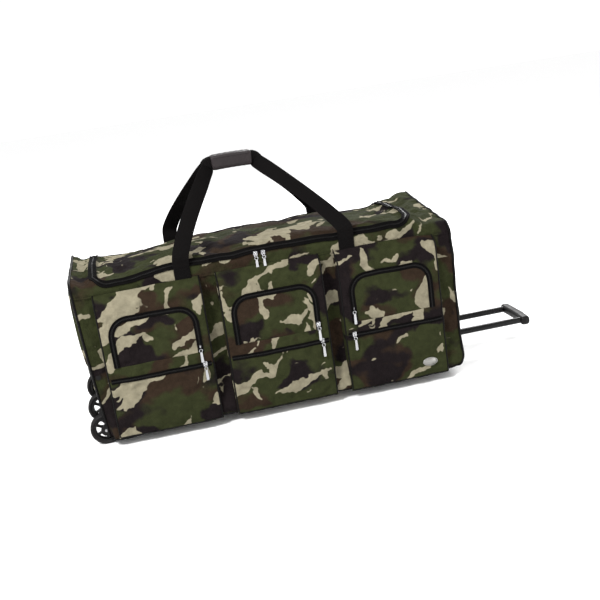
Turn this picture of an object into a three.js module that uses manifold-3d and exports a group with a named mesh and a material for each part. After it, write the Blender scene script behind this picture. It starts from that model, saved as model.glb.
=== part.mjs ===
// Rolling duffel bag: a soft body with three front pockets, a zipped top lid, two carry straps,
// three nested wheels at each corner of one end and a telescoping pull handle at the other.
// Millimetres. +X runs from the wheel end to the pull handle, +Y from the pockets to the plain
// back, +Z up from the floor. The outer box's bottom centre is the origin of the exported group.
import * as THREE from 'three';
import { mergeVertices } from 'three/addons/utils/BufferGeometryUtils.js';
import Module from 'manifold-3d';

const wasm = await Module();
wasm.setup();

// ---------------------------------------------------------------- driving dimensions
const GAP = 0.3; // between pieces that lie against each other
const HINGE_GAP = 1; // round a lid or flap

const body = {
  halfLength: 502,
  halfDepth: 190,
  underside: 20,
  top: 450,
  wall: 4,
  wheelEndLean: 28, // how far the wheel end slopes in at its bottom
  // corner radii seen from the side, then seen from an end
  wheelLow: 10,
  handleLow: 24,
  handleHigh: 32,
  wheelHigh: 20,
  bottomEdge: 30,
  rearEdge: 40,
};
const board = { left: -410, right: 480, halfWidth: 158, corner: 20, thickness: 3 };
const lid = { left: -437, right: 395, hingeY: 160, zipRadius: 28, corner: 40 };
const pocket = {
  centres: { left: -311, middle: 0, right: 311 },
  width: 272,
  proud: 36,
  bottom: 24,
  top: 380,
  wall: 3,
  edge: 8, // how far the face's upper edge is cut back
};
const arch = { halfWidth: 101, bottom: 215, top: 331, corner: 38, zipOffset: 5.5 };
// the main sliders hang on the front side of the zip
const mainZip = { z: 432, left: -24, right: -4 };
// the height of each pocket's arched zip's slider, and which side of the pocket both sliders are
const archSliderZ = { left: 229, middle: 226, right: 251 };
const sliderSide = { left: 1, middle: 1, right: -1 };
const slashZip = { z: 180, reach: 112 };
const slider = { long: 17, wide: 11, thick: 5, corner: 3 };
const pull = { long: 38, wide: 10, thick: 2, corner: 3, rim: 2.5, eyeTop: 3, eyeLow: 10, drop: 4 };
const wheel = {
  radius: 41,
  width: 22,
  rim: 31,
  shoulder: 4, // the tread's bevel
  recess: 4, // how far the hub lies inside the tyre's sides
  axle: 3.8,
  running: 0.3,
  spokes: 6,
  windowInner: 12, // each window between spokes is a triangle: its point's and its base's radius
  windowOuter: 25,
  windowHalfAngle: 0.38,
};
// each corner's wheels, from the floor up: they overlap, so each is one pitch further inboard
const wheelSeats = [
  { name: 'low', x: -478, y: 170, z: 41 },
  { name: 'mid', x: -474, y: 144, z: 92 },
  { name: 'high', x: -468, y: 118, z: 141 },
];
const housing = {
  left: -487,
  right: -424,
  outer: 189,
  inner: 99,
  cheek: 5,
  top: 192,
  lobe: 14, // radius round each axle's end
  wheelRoom: 3,
};
const skid = { y: 95, width: 26, left: -400, right: 470, slope: 22, corner: 14 };
const handle = {
  y: 62,
  z: 70,
  outerRadius: 11,
  outerBore: 9.5,
  innerRadius: 9,
  innerBore: 7.5,
  sleeveLeft: -415,
  innerLeft: 250,
  innerRight: 734,
  rodRadius: 2.5,
  rodInset: 20, // from the inner tube's hidden end
};
const bezel = { halfWidth: 86, halfHeight: 24, corner: 12, behind: 8, proud: 3, clearance: 0.4 };
const loop = { reach: 32, halfWidth: 15, rim: 6, thickness: 6 };
const grip = { left: 726, right: 758, halfLength: 80, height: 26, bow: 5, bowRadius: 200 };
const button = { halfWidth: 18.5, halfHeight: 5, corner: 3, proud: 4, deep: 14, barHalf: 67, bar: 3 };
const strap = {
  hingeY: 196,
  hingeZ: 452,
  kneeY: 192, // the legs rise almost upright to here, then lean in
  kneeZ: 490,
  baseX: 215,
  width: 42,
  thickness: 3,
  topZ: 657,
  topY: 10.5,
  wrapLeft: -82,
  wrapRight: 28,
  wrapDepth: 20,
  wrapHeight: 40,
  wrapCorner: 7,
  runHalfDepth: 4, // the strap inside the wrap
  runHalfHeight: 12,
  legTopHigh: 10, // the legs' upper ends, above and below the run's middle
  legTopLow: 22,
};

// ---------------------------------------------------------------- materials
const paint = (color, roughness, metalness = 0) =>
  new THREE.MeshStandardMaterial({ color, roughness, metalness });
const material = {
  camouflage: paint(0x4a4a34, 0.9),
  webbing: paint(0x141414, 0.85),
  leather: paint(0x33241f, 0.5),
  plastic: paint(0x161617, 0.5),
  rubber: paint(0x1c1a1b, 0.8),
  tube: paint(0x1a1a1b, 0.3, 0.8),
  steel: paint(0x8a8a8c, 0.35, 1),
  chrome: paint(0xd8d8da, 0.15, 1),
  board: paint(0x222222, 0.8),
};

// ---------------------------------------------------------------- solids
function toSolid(geometry) {
  const bare = geometry.clone();
  bare.deleteAttribute('normal');
  bare.deleteAttribute('uv');
  const merged = mergeVertices(bare, 1e-3);
  return new wasm.Manifold(
    new wasm.Mesh({
      numProp: 3,
      vertProperties: new Float32Array(merged.attributes.position.array),
      triVerts: new Uint32Array(merged.index.array),
    }),
  );
}

function toGeometry(solid) {
  const mesh = solid.getMesh();
  const geometry = new THREE.BufferGeometry();
  geometry.setAttribute('position', new THREE.BufferAttribute(mesh.vertProperties, 3));
  geometry.setIndex(new THREE.BufferAttribute(mesh.triVerts, 1));
  return geometry;
}

function box(x0, x1, y0, y1, z0, z1) {
  const geometry = new THREE.BoxGeometry(x1 - x0, y1 - y0, z1 - z0);
  return toSolid(geometry.translate((x0 + x1) / 2, (y0 + y1) / 2, (z0 + z1) / 2));
}

// A closed outline through the corners, each [u, v, radius], rounded with an arc where radius > 0.
function outline(corners, Kind = THREE.Shape) {
  const shape = new Kind();
  const at = corners.map(([u, v]) => new THREE.Vector2(u, v));
  corners.forEach(([, , radius = 0], i) => {
    const here = at[i];
    const back = at.at(i - 1).clone().sub(here).normalize();
    const on = at[(i + 1) % at.length].clone().sub(here).normalize();
    const half = Math.acos(THREE.MathUtils.clamp(back.dot(on), -1, 1)) / 2;
    const cut = radius / Math.tan(half);
    const start = here.clone().addScaledVector(back, cut);
    if (i === 0) shape.moveTo(start.x, start.y);
    else shape.lineTo(start.x, start.y);
    if (radius > 0) {
      const centre = here.clone().add(back.clone().add(on).setLength(radius / Math.sin(half)));
      const finish = here.clone().addScaledVector(on, cut);
      const turn = (p) => Math.atan2(p.y - centre.y, p.x - centre.x);
      const clockwise = back.cross(on) > 0;
      shape.absarc(centre.x, centre.y, radius, turn(start), turn(finish), clockwise);
    }
  });
  return shape;
}

const roundRect = (u0, u1, v0, v1, radius, Kind) =>
  outline([[u0, v0, radius], [u1, v0, radius], [u1, v1, radius], [u0, v1, radius]], Kind);

const extrude = (shape, depth, curveSegments) =>
  new THREE.ExtrudeGeometry(shape, { depth, curveSegments, bevelEnabled: false });

// prisms of a flat outline along each axis
const alongX = (shapeYZ, x0, x1, segments = 6) =>
  toSolid(
    extrude(shapeYZ, x1 - x0, segments).applyMatrix4(
      new THREE.Matrix4().set(0, 0, 1, x0, 1, 0, 0, 0, 0, 1, 0, 0, 0, 0, 0, 1),
    ),
  );
const alongY = (shapeXZ, y0, y1, segments = 6) =>
  toSolid(extrude(shapeXZ, y1 - y0, segments).rotateX(Math.PI / 2).translate(0, y1, 0));
const alongZ = (shapeXY, z0, z1, segments = 6) =>
  toSolid(extrude(shapeXY, z1 - z0, segments).translate(0, 0, z0));

function rod(axis, radius, from, to, centre, segments = 16) {
  const geometry = new THREE.CylinderGeometry(radius, radius, to - from, segments);
  if (axis === 'x') geometry.rotateZ(Math.PI / 2).translate((from + to) / 2, ...centre);
  else geometry.translate(centre[0], (from + to) / 2, centre[1]);
  return toSolid(geometry);
}

// a round tube along X, open at both ends
function pipe(radius, bore, from, to, centre, segments = 20) {
  return rod('x', radius, from, to, centre, segments).subtract(
    rod('x', bore, from - 1, to + 1, centre, segments),
  );
}

// ---------------------------------------------------------------- scene graph
const group = new THREE.Group();
const bag = new THREE.Group();
group.add(bag);

function place(name, shape, finish, position = [0, 0, 0]) {
  const mesh = new THREE.Mesh(shape.isBufferGeometry ? shape : toGeometry(shape), finish);
  mesh.name = name;
  mesh.position.set(...position);
  bag.add(mesh);
  return mesh;
}

// ---------------------------------------------------------------- fabric body and lid
// A block of the bag's outer form, smaller all round by `inset`.
function bodyBlock(inset) {
  const { halfLength: end, halfDepth: side, underside, top } = body;
  const low = underside + inset;
  const high = top - inset;
  const left = -end + inset;
  const right = end - inset;
  const seen = (radius) => Math.max(radius - inset, 1);
  const sideView = outline([
    [left + body.wheelEndLean, low, seen(body.wheelLow)],
    [right, low, seen(body.handleLow)],
    [right, high, seen(body.handleHigh)],
    [left, high, seen(body.wheelHigh)],
  ]);
  const endView = outline([
    [-side + inset, low, seen(body.bottomEdge)],
    [side - inset, low, seen(body.bottomEdge)],
    [side - inset, high, seen(body.rearEdge)],
    [-side + inset, high, seen(lid.zipRadius)],
  ]);
  return alongY(sideView, -side, side).intersect(alongX(endView, -end, end));
}

// The part of the bag's skin inside the main zip: its front edge is the plane through the middle
// of the rounded front edge, its ends and rear edge are upright.
function lidRegion(grow) {
  const middle = [-body.halfDepth + lid.zipRadius, body.top - lid.zipRadius];
  const reach = 70; // well beyond the skin
  const outside = 1.5; // keeps the plan's front edge off the zip line
  const wedge = new THREE.Shape([
    new THREE.Vector2(middle[0] - grow, middle[1] - grow),
    new THREE.Vector2(lid.hingeY + grow, middle[1] - grow),
    new THREE.Vector2(lid.hingeY + grow, body.top + reach),
    new THREE.Vector2(middle[0] - reach - grow, middle[1] + reach - grow),
  ]);
  const zipY = middle[0] - lid.zipRadius * Math.SQRT1_2 - outside;
  const plan = outline([
    [lid.left - grow, zipY - grow, lid.corner],
    [lid.right + grow, zipY - grow, lid.corner],
    [lid.right + grow, lid.hingeY + grow, 0],
    [lid.left - grow, lid.hingeY + grow, 0],
  ]);
  return alongX(wedge, lid.left - reach, lid.right + reach).intersect(
    alongZ(plan, body.top - reach, body.top + reach),
  );
}

function skin() {
  return bodyBlock(0).subtract(bodyBlock(body.wall));
}

function bagShell() {
  const beyond = body.halfLength + 1;
  const right = housing.right + GAP;
  const inner = housing.inner - GAP;
  const outer = body.halfDepth + 1;
  const high = housing.top + GAP;
  return skin()
    .subtract(lidRegion(HINGE_GAP))
    .subtract(box(-beyond, right, -outer, -inner, 0, high))
    .subtract(box(-beyond, right, inner, outer, 0, high))
    .subtract(bezelPlate(GAP));
}

place('bag_shell', bagShell(), material.camouflage);
place('top_lid', skin().intersect(lidRegion(0)), material.camouflage);
const boardLow = body.underside + body.wall + GAP;
place(
  'base_board',
  alongZ(
    roundRect(board.left, board.right, -board.halfWidth, board.halfWidth, board.corner),
    boardLow,
    boardLow + board.thickness,
  ),
  material.board,
);

// ---------------------------------------------------------------- front pockets
const front = -body.halfDepth;
const face = front - pocket.proud;

const archOutline = (centre, inset) =>
  outline([
    [centre - arch.halfWidth + inset, arch.bottom + inset, 0],
    [centre + arch.halfWidth - inset, arch.bottom + inset, 0],
    [centre + arch.halfWidth - inset, arch.top - inset, arch.corner - inset],
    [centre - arch.halfWidth + inset, arch.top - inset, arch.corner - inset],
  ]);

for (const [name, centre] of Object.entries(pocket.centres)) {
  const half = pocket.width / 2;
  const { wall, edge } = pocket;
  // the pocket seen from its end, or the space in it, which is open at the back
  const side = (inset) => {
    const back = front - GAP + 2 * inset;
    return outline([
      [face + inset, pocket.bottom + inset, edge],
      [back, pocket.bottom + inset, 0],
      [back, pocket.top - inset, 0],
      [face + inset, pocket.top - inset - edge, 1.5 * edge],
    ]);
  };
  const shell = alongX(side(0), centre - half, centre + half)
    .subtract(alongX(side(wall), centre - half + wall, centre + half - wall))
    .subtract(alongY(archOutline(centre, 0), face - 2, face + wall + 2));
  place(`pocket_${name}`, shell, material.camouflage);
  place(
    `pocket_flap_${name}`,
    alongY(archOutline(centre, HINGE_GAP), face, face + wall),
    material.camouflage,
  );
}

// ---------------------------------------------------------------- zip sliders and pulls
// A slider is a low block on the zip; its pull is a flat plate with an eye, hanging in front.
function sliderBlock() {
  const { long, wide, thick, corner } = slider;
  return alongY(roundRect(-wide / 2, wide / 2, -long / 2, long / 2, corner), -thick, 0, 1);
}

function pullPlate() {
  const { long, wide, thick, corner, rim, eyeTop, eyeLow } = pull;
  const plate = roundRect(-wide / 2, wide / 2, -long, 0, corner);
  const eye = wide / 2 - rim;
  plate.holes.push(roundRect(-eye, eye, -eyeLow, -eyeTop, corner / 2, THREE.Path));
  return extrude(plate, thick, 1).rotateX(Math.PI / 2);
}

// A slider at (x, z) on the fabric surface at `surface`, with its pull hanging from it.
function zipper(name, x, surface, z) {
  const back = surface - 0.5;
  const hang = back - slider.thick - 1;
  place(`${name}_slider`, sliderBlock(), material.chrome, [x, back, z]);
  place(`${name}_pull`, pullPlate(), material.chrome, [x, hang, z - pull.drop]);
}

zipper('main_zip_left', mainZip.left, front, mainZip.z);
zipper('main_zip_right', mainZip.right, front, mainZip.z);
const archReach = arch.halfWidth + arch.zipOffset;
for (const [name, centre] of Object.entries(pocket.centres)) {
  const side = sliderSide[name];
  zipper(`arch_zip_${name}`, centre + side * archReach, face, archSliderZ[name]);
  zipper(`slash_zip_${name}`, centre + side * slashZip.reach, face, slashZip.z);
}

// ---------------------------------------------------------------- carry straps
// Each strap is an inverted U: its legs rise from the bag's long edge and lean in to the middle,
// where the two straps' runs lie side by side, each inside its half of the hand wrap.
function strapSolid() {
  const { hingeY, hingeZ, kneeY, kneeZ, baseX, width, thickness, topY, topZ } = strap;
  const half = width / 2;
  const lean = new THREE.Vector2(kneeY - topY, topZ - kneeZ).normalize();
  const deep = [thickness * 0.5 * lean.y, thickness * 0.5 * lean.x];
  const reach = 6; // how far the band runs past the wrap's middle
  const band = new THREE.Shape(
    [
      [-hingeY - thickness / 2, hingeZ],
      [-kneeY - thickness / 2, kneeZ],
      [-topY + reach * lean.x - deep[0], topZ + reach * lean.y + deep[1]],
      [-topY + reach * lean.x + deep[0], topZ + reach * lean.y - deep[1]],
      [-kneeY + thickness / 2, kneeZ - 1],
      [-hingeY + thickness / 2, hingeZ],
    ].map(([y, z]) => new THREE.Vector2(y, z)),
  );
  const leg = (base, top) => {
    const ends = [topZ - strap.legTopLow, topZ + strap.legTopHigh];
    const [near, far] = base < 0 ? ends : ends.reverse();
    const corners = [
      [base - half, hingeZ - 1],
      [base + half, hingeZ - 1],
      [top, near],
      [top, far],
    ];
    const shape = new THREE.Shape(corners.map(([x, z]) => new THREE.Vector2(x, z)));
    return alongY(shape, -hingeY - 10, 0);
  };
  const legs = leg(-baseX, strap.wrapLeft - 2).add(leg(baseX, strap.wrapRight + 2));
  const overlap = 8; // the run goes this far into each leg
  const run = box(
    strap.wrapLeft - overlap,
    strap.wrapRight + overlap,
    -topY - strap.runHalfDepth,
    -topY + strap.runHalfDepth,
    topZ - strap.runHalfHeight,
    topZ + strap.runHalfHeight,
  );
  return alongX(band, -baseX - half - 5, baseX + half + 5).intersect(legs).add(run);
}

function wrapSolid() {
  const { topY, topZ, wrapDepth, wrapHeight } = strap;
  const section = roundRect(
    -topY - wrapDepth / 2,
    -topY + wrapDepth / 2,
    topZ - wrapHeight / 2,
    topZ + wrapHeight / 2,
    strap.wrapCorner,
  );
  const clear = GAP + 0.1;
  const u = strap.runHalfDepth + clear;
  const v = strap.runHalfHeight + clear;
  section.holes.push(roundRect(-topY - u, -topY + u, topZ - v, topZ + v, 0.5, THREE.Path));
  return alongX(section, strap.wrapLeft, strap.wrapRight, 4);
}

for (const [side, mirror] of [['front', false], ['rear', true]]) {
  const flip = (solid) => (mirror ? solid.mirror([0, 1, 0]) : solid);
  place(`carry_strap_${side}`, flip(strapSolid()), material.webbing);
  place(`hand_wrap_${side}`, flip(wrapSolid()), material.leather);
}

// ---------------------------------------------------------------- wheels
function tyreShape() {
  const { radius, width, rim, shoulder } = wheel;
  const half = width / 2;
  const bead = half - shoulder / 2;
  const section = [
    [rim, -bead],
    [radius - shoulder, -half],
    [radius, -half + shoulder],
    [radius, half - shoulder],
    [radius - shoulder, half],
    [rim, bead],
    [rim, -bead],
  ].map(([r, y]) => new THREE.Vector2(r, y));
  return toSolid(new THREE.LatheGeometry(section, 32));
}

function hubShape() {
  const { width, rim, axle, running, spokes, recess, windowInner, windowOuter } = wheel;
  const edge = rim - GAP;
  const disc = new THREE.Shape();
  disc.absarc(0, 0, edge, 0, Math.PI * 2);
  const bore = new THREE.Path();
  bore.absarc(0, 0, axle + running, 0, Math.PI * 2, true);
  disc.holes.push(bore);
  for (let i = 0; i < spokes; i++) {
    const middle = (i * 2 * Math.PI) / spokes;
    const corner = (r, turn) => [r * Math.cos(middle + turn), r * Math.sin(middle + turn)];
    const spread = wheel.windowHalfAngle;
    const base = [corner(windowOuter, spread), corner(windowOuter, -spread)];
    disc.holes.push(outline([corner(windowInner, 0), ...base], THREE.Path));
  }
  return alongY(disc, -width / 2 + recess, width / 2 - recess, 16);
}

// The cheeks and back of a wheel housing, with a round lobe over each axle end.
function housingShape() {
  const { left, right, outer, inner, cheek, top } = housing;
  let block = box(left + 10, right, -outer, -inner, body.underside + 2, top);
  for (const seat of wheelSeats) {
    block = block.add(rod('y', housing.lobe, -outer, -inner, [seat.x, seat.z], 16));
  }
  const clear = wheel.radius + housing.wheelRoom;
  for (const seat of wheelSeats) {
    const room = [-outer + cheek, -inner - cheek];
    block = block
      .subtract(rod('y', clear, ...room, [seat.x, seat.z], 24))
      .subtract(box(seat.x - clear - 40, seat.x, ...room, seat.z - clear, seat.z + clear));
  }
  const { x, z } = wheelSeats[0];
  block = block.subtract(box(x, x + clear, -outer + cheek, -inner - cheek, 0, z));
  for (const seat of wheelSeats) {
    const bore = wheel.axle + GAP;
    block = block.subtract(rod('y', bore, -outer - 1, -inner + 1, [seat.x, seat.z]));
  }
  return block;
}

const tyre = tyreShape();
const hub = hubShape();
for (const [side, sign] of [['front', -1], ['rear', 1]]) {
  const shape = housingShape();
  place(
    `wheel_housing_${side}`,
    sign < 0 ? shape : shape.mirror([0, 1, 0]),
    material.plastic,
  );
  for (const seat of wheelSeats) {
    const centre = [seat.x, sign * seat.y, seat.z];
    const name = `${side}_${seat.name}`;
    place(`tyre_${name}`, tyre, material.rubber, centre);
    place(`hub_${name}`, hub, material.plastic, centre);
    const ends = [housing.inner + 0.5, housing.outer - 0.5].map((y) => y * sign);
    const [from, to] = sign < 0 ? ends.reverse() : ends;
    place(`axle_${name}`, rod('y', wheel.axle, from, to, [seat.x, seat.z]), material.steel);
  }
}

// ---------------------------------------------------------------- skid rails
for (const [side, sign] of [['front', -1], ['rear', 1]]) {
  const [near, far] = [sign * skid.y - skid.width / 2, sign * skid.y + skid.width / 2];
  const sideView = outline([
    [skid.left, body.underside - GAP, 0],
    [skid.left + skid.slope, 0, skid.corner],
    [skid.right - skid.slope, 0, skid.corner],
    [skid.right, body.underside - GAP, 0],
  ]);
  place(`skid_rail_${side}`, alongY(sideView, near, far, 4), material.plastic);
}

// ---------------------------------------------------------------- pull handle
function bezelPlate(grow) {
  const [u, v] = [bezel.halfWidth + grow, bezel.halfHeight + grow];
  const plate = roundRect(-u, u, handle.z - v, handle.z + v, bezel.corner);
  return alongX(plate, body.halfLength - bezel.behind - grow, body.halfLength + bezel.proud + grow, 5);
}

// The plate that the tubes come through, with a pull loop between them.
function handleBezel() {
  const { reach, halfWidth, rim, thickness } = loop;
  const end = body.halfLength;
  const hoop = roundRect(end, end + reach, -halfWidth, halfWidth, 2 * rim);
  const hole = halfWidth - rim;
  hoop.holes.push(roundRect(end + rim, end + reach - rim, -hole, hole, rim, THREE.Path));
  let shape = bezelPlate(0).add(
    alongZ(hoop, handle.z - thickness / 2, handle.z + thickness / 2, 5),
  );
  const radius = handle.innerRadius + bezel.clearance;
  for (const y of [-handle.y, handle.y]) {
    const port = rod('x', radius, end - 2 * bezel.behind, end + bezel.behind, [y, handle.z], 20);
    shape = shape.subtract(port);
  }
  return shape;
}

// The grip is a shallow bow, hollow for the button's cross bar, open through the tube sockets.
function gripShape() {
  const { left, right, halfLength, height, bow, bowRadius } = grip;
  const low = handle.z - height / 2;
  const high = handle.z + height / 2;
  const plan = outline([
    [left, -halfLength, 8],
    [right - bow, -halfLength, 10],
    [right, 0, bowRadius],
    [right - bow, halfLength, 10],
    [left, halfLength, 8],
    [left + bow, 0, bowRadius],
  ]);
  const profile = roundRect(left - 1, right + 1, low, high, 9);
  let shape = alongZ(plan, low, high).intersect(alongY(profile, -halfLength - 1, halfLength + 1));
  const inner = handle.innerRadius + GAP;
  for (const y of [-handle.y, handle.y]) {
    shape = shape.subtract(rod('x', inner, left - 5, handle.innerRight + GAP, [y, handle.z], 20));
  }
  // the room for the button's cross bar, and the button's opening
  const room = [button.barHalf + 4, button.halfHeight + 2];
  const [u, v] = [button.halfWidth + 0.5, button.halfHeight + 0.5];
  return shape
    .subtract(
      box(handle.innerRight, right - 8, -room[0], room[0], handle.z - room[1], handle.z + room[1]),
    )
    .subtract(box(right - 12, right + button.proud, -u, u, handle.z - v, handle.z + v));
}

const buttonFoot = grip.right - button.deep - 2;

function buttonShape() {
  const { halfWidth, halfHeight, corner, proud, deep, barHalf } = button;
  const [low, high] = [handle.z - halfHeight, handle.z + halfHeight];
  const plate = roundRect(-halfWidth, halfWidth, low, high, corner);
  const bar = box(buttonFoot, buttonFoot + button.bar, -barHalf, barHalf, low, high);
  return alongX(plate, grip.right - deep, grip.right + proud, 4).add(bar);
}

place('handle_bezel', handleBezel(), material.plastic);
place('handle_grip', gripShape(), material.plastic);
place('release_button', buttonShape(), material.plastic);
for (const [side, y] of [['front', -handle.y], ['rear', handle.y]]) {
  const { outerRadius, outerBore, innerRadius, innerBore, z } = handle;
  const sleeveEnd = body.halfLength - bezel.behind - GAP;
  place(
    `outer_tube_${side}`,
    pipe(outerRadius, outerBore, handle.sleeveLeft, sleeveEnd, [y, z]),
    material.steel,
  );
  place(
    `inner_tube_${side}`,
    pipe(innerRadius, innerBore, handle.innerLeft, handle.innerRight, [y, z]),
    material.tube,
  );
  const rodStart = handle.innerLeft + handle.rodInset;
  const pushRod = rod('x', handle.rodRadius, rodStart, buttonFoot - GAP, [y, z], 10);
  place(`push_rod_${side}`, pushRod, material.steel);
}

// ---------------------------------------------------------------- origin at the bottom centre
const bounds = new THREE.Box3().setFromObject(bag);
bag.position.set(-(bounds.min.x + bounds.max.x) / 2, -(bounds.min.y + bounds.max.y) / 2, 0);

export default group;
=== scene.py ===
"""Rolling duffel bag in camouflage fabric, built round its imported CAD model.

Lengths are millimetres in the bag's own frame: the middle of the middle pocket is x 0, the middle
of the fabric body's depth is y 0 and the floor is z 0. add_mesh() turns them into metres in the
CAD frame. Pieces on the fabric are laid out on the CAD model's flat-sided box and then pass
through soften(), which gives every one of them the same sag, puff and ripples.
"""

import math

import bpy
import numpy as np
from mathutils import Matrix, Vector


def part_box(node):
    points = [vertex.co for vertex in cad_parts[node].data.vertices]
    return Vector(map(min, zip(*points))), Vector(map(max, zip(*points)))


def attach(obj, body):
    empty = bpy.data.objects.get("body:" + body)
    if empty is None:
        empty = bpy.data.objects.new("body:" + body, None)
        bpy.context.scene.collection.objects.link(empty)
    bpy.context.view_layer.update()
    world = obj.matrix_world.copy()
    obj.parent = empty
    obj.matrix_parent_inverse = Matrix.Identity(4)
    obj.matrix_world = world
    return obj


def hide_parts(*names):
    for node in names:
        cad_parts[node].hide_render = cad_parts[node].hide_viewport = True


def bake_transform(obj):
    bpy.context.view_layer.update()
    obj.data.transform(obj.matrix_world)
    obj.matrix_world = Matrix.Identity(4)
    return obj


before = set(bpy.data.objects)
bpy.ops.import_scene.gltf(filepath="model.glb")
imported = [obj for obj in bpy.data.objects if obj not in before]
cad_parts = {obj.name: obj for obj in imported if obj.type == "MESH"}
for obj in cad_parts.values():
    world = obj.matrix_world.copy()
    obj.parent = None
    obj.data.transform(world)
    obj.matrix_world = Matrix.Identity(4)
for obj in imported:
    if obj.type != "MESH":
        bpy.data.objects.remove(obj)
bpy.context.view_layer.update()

# ------------------------------------------------------------------ places taken from the frame
MM = 0.001


def node_box(node):
    """The node's lowest and highest corners in the CAD frame, in millimetres."""
    low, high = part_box(node)
    return np.array(low) / MM, np.array(high) / MM


ORIGIN = np.array(
    [
        sum(box[0] for box in node_box("pocket_middle")) / 2,
        sum(box[1] for box in node_box("bag_shell")) / 2,
        0.0,
    ]
)


def local(node):
    """The node's lowest and highest corners in the bag's own frame."""
    low, high = node_box(node)
    return low - ORIGIN, high - ORIGIN


shell_low, shell_high = local("bag_shell")
lid_low, lid_high = local("top_lid")
housing_low, housing_high = local("wheel_housing_rear")
SIDE = shell_high[1]
TOP = shell_high[2]
UNDER = shell_low[2]
WHEEL_END = shell_low[0] + 4
HANDLE_END = 496.0
TOP_RADIUS = 28.0
BOTTOM_RADIUS = 28.0
HINGE_Y = 160.0
LID_LEFT = lid_low[0]
LID_RIGHT = lid_high[0]
ZIP_CORNER = 40.0
ZIP_Y = -SIDE + TOP_RADIUS * (1 - math.sqrt(0.5))
CUT_X = housing_high[0]
CUT_Y = housing_low[1]
CUT_Z = housing_high[2]
SEAM_Z = 403.0
FACE = local("pocket_middle")[0][1]
POCKET_DEPTH = -SIDE - FACE
SIDES = (("front", -1), ("rear", 1))
POCKETS = ("left", "middle", "right")
STRAP_BASE_X = 215.0
STRAP_WIDTH = 42.0
X_AXIS = (1.0, 0.0, 0.0)
Y_AXIS = (0.0, 1.0, 0.0)
Z_AXIS = (0.0, 0.0, 1.0)


# ------------------------------------------------------------------ mesh tools
def add_mesh(
    name, verts, faces, material, body=None, smooth=True, uv=None, sharp=None, replaces=None
):
    """A new mesh object from millimetre vertices. It rides on body and hides the CAD node that it
    replaces. uv has one pair per vertex."""
    mesh = bpy.data.meshes.new(name)
    mesh.from_pydata(((np.asarray(verts) + ORIGIN) * MM).tolist(), [], [list(f) for f in faces])
    if uv is not None:
        layer = mesh.uv_layers.new(name="UVMap")
        corners = np.zeros(len(mesh.loops), int)
        mesh.loops.foreach_get("vertex_index", corners)
        layer.data.foreach_set("uv", np.asarray(uv, float)[corners].ravel())
    mesh.validate()
    if smooth:
        mesh.shade_smooth()
    if sharp is not None:
        mesh.set_sharp_from_angle(angle=math.radians(sharp))
    mesh.materials.append(material)
    obj = bpy.data.objects.new(name, mesh)
    bpy.context.scene.collection.objects.link(obj)
    if body:
        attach(obj, body)
    if replaces:
        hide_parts(replaces)
    return obj


def quads(rows, columns, close_rows=False, close_columns=False):
    """Faces of a grid of points stored row by row."""
    faces = []
    for i in range(rows if close_rows else rows - 1):
        for j in range(columns if close_columns else columns - 1):
            a, b = i * columns, ((i + 1) % rows) * columns
            k = (j + 1) % columns
            faces.append((a + j, a + k, b + k, b + j))
    return faces


def modify(obj, kind, **settings):
    modifier = obj.modifiers.new(kind.lower(), kind)
    for key, value in settings.items():
        setattr(modifier, key, value)
    return obj


def unit(v):
    v = np.asarray(v, float)
    return v / np.maximum(np.linalg.norm(v, axis=-1, keepdims=True), 1e-9)


def tangents(path, closed=False):
    if closed:
        return unit(np.roll(path, -1, 0) - np.roll(path, 1, 0))
    return unit(np.gradient(path, axis=0))


def arc_length(path):
    return np.concatenate([[0], np.cumsum(np.linalg.norm(np.diff(path, axis=0), axis=1))])


def resample(path, step, *others):
    """The path, and arrays that go with it, at even steps."""
    path = np.asarray(path, float)
    s = arc_length(path)
    t = np.linspace(0, s[-1], max(int(round(s[-1] / step)), 1) + 1)
    arrays = [path, *[np.asarray(o, float) for o in others]]
    out = [np.stack([np.interp(t, s, a[:, k]) for k in range(a.shape[1])], 1) for a in arrays]
    return out if others else out[0]


def sweep(path, across, section, closed=False, scale=None):
    """A closed section, points (along across, along normal), swept along path. across is one
    direction or one per path point, and scale has a pair of factors per path point. Gives
    vertices, faces and uv in millimetres."""
    path = np.asarray(path, float)
    across = np.broadcast_to(np.asarray(across, float), path.shape)
    along = tangents(path, closed)
    across = unit(across - (across * along).sum(1, keepdims=True) * along)
    normal = np.cross(along, across)
    section = np.asarray(section, float)
    factors = np.ones((len(path), 2)) if scale is None else np.asarray(scale, float)
    spread = section[None] * factors[:, None]
    verts = path[:, None] + across[:, None] * spread[..., :1] + normal[:, None] * spread[..., 1:]
    count = len(section)
    faces = quads(len(path), count, close_rows=closed, close_columns=True)
    if not closed:
        last = (len(path) - 1) * count
        faces += [tuple(range(count))[::-1], tuple(range(last, last + count))]
    run = arc_length(path)
    girth = arc_length(section)
    uv = np.stack(np.broadcast_arrays(girth[None], run[:, None]), -1)
    return verts.reshape(-1, 3), [f[::-1] for f in faces], uv.reshape(-1, 2)


def circle(radius, sides=10):
    turn = np.arange(sides) * 2 * math.pi / sides
    return np.stack([radius * np.cos(turn), radius * np.sin(turn)], 1)


def rounded(width, height, radius, steps=4):
    """A rounded rectangle round the origin."""
    points = []
    for quarter, (u, v) in enumerate(((1, 1), (-1, 1), (-1, -1), (1, -1))):
        for k in range(steps + 1):
            turn = (quarter + k / steps) * math.pi / 2
            corner = (u * (width / 2 - radius), v * (height / 2 - radius))
            points.append((corner[0] + radius * math.cos(turn), corner[1] + radius * math.sin(turn)))
    return np.array(points)


def joined(parts):
    """One mesh's vertices and faces from several (verts, faces) pairs."""
    verts, faces, start = [], [], 0
    for v, f in parts:
        verts.append(np.asarray(v))
        faces += [[i + start for i in face] for face in f]
        start += len(v)
    return np.concatenate(verts), faces


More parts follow.
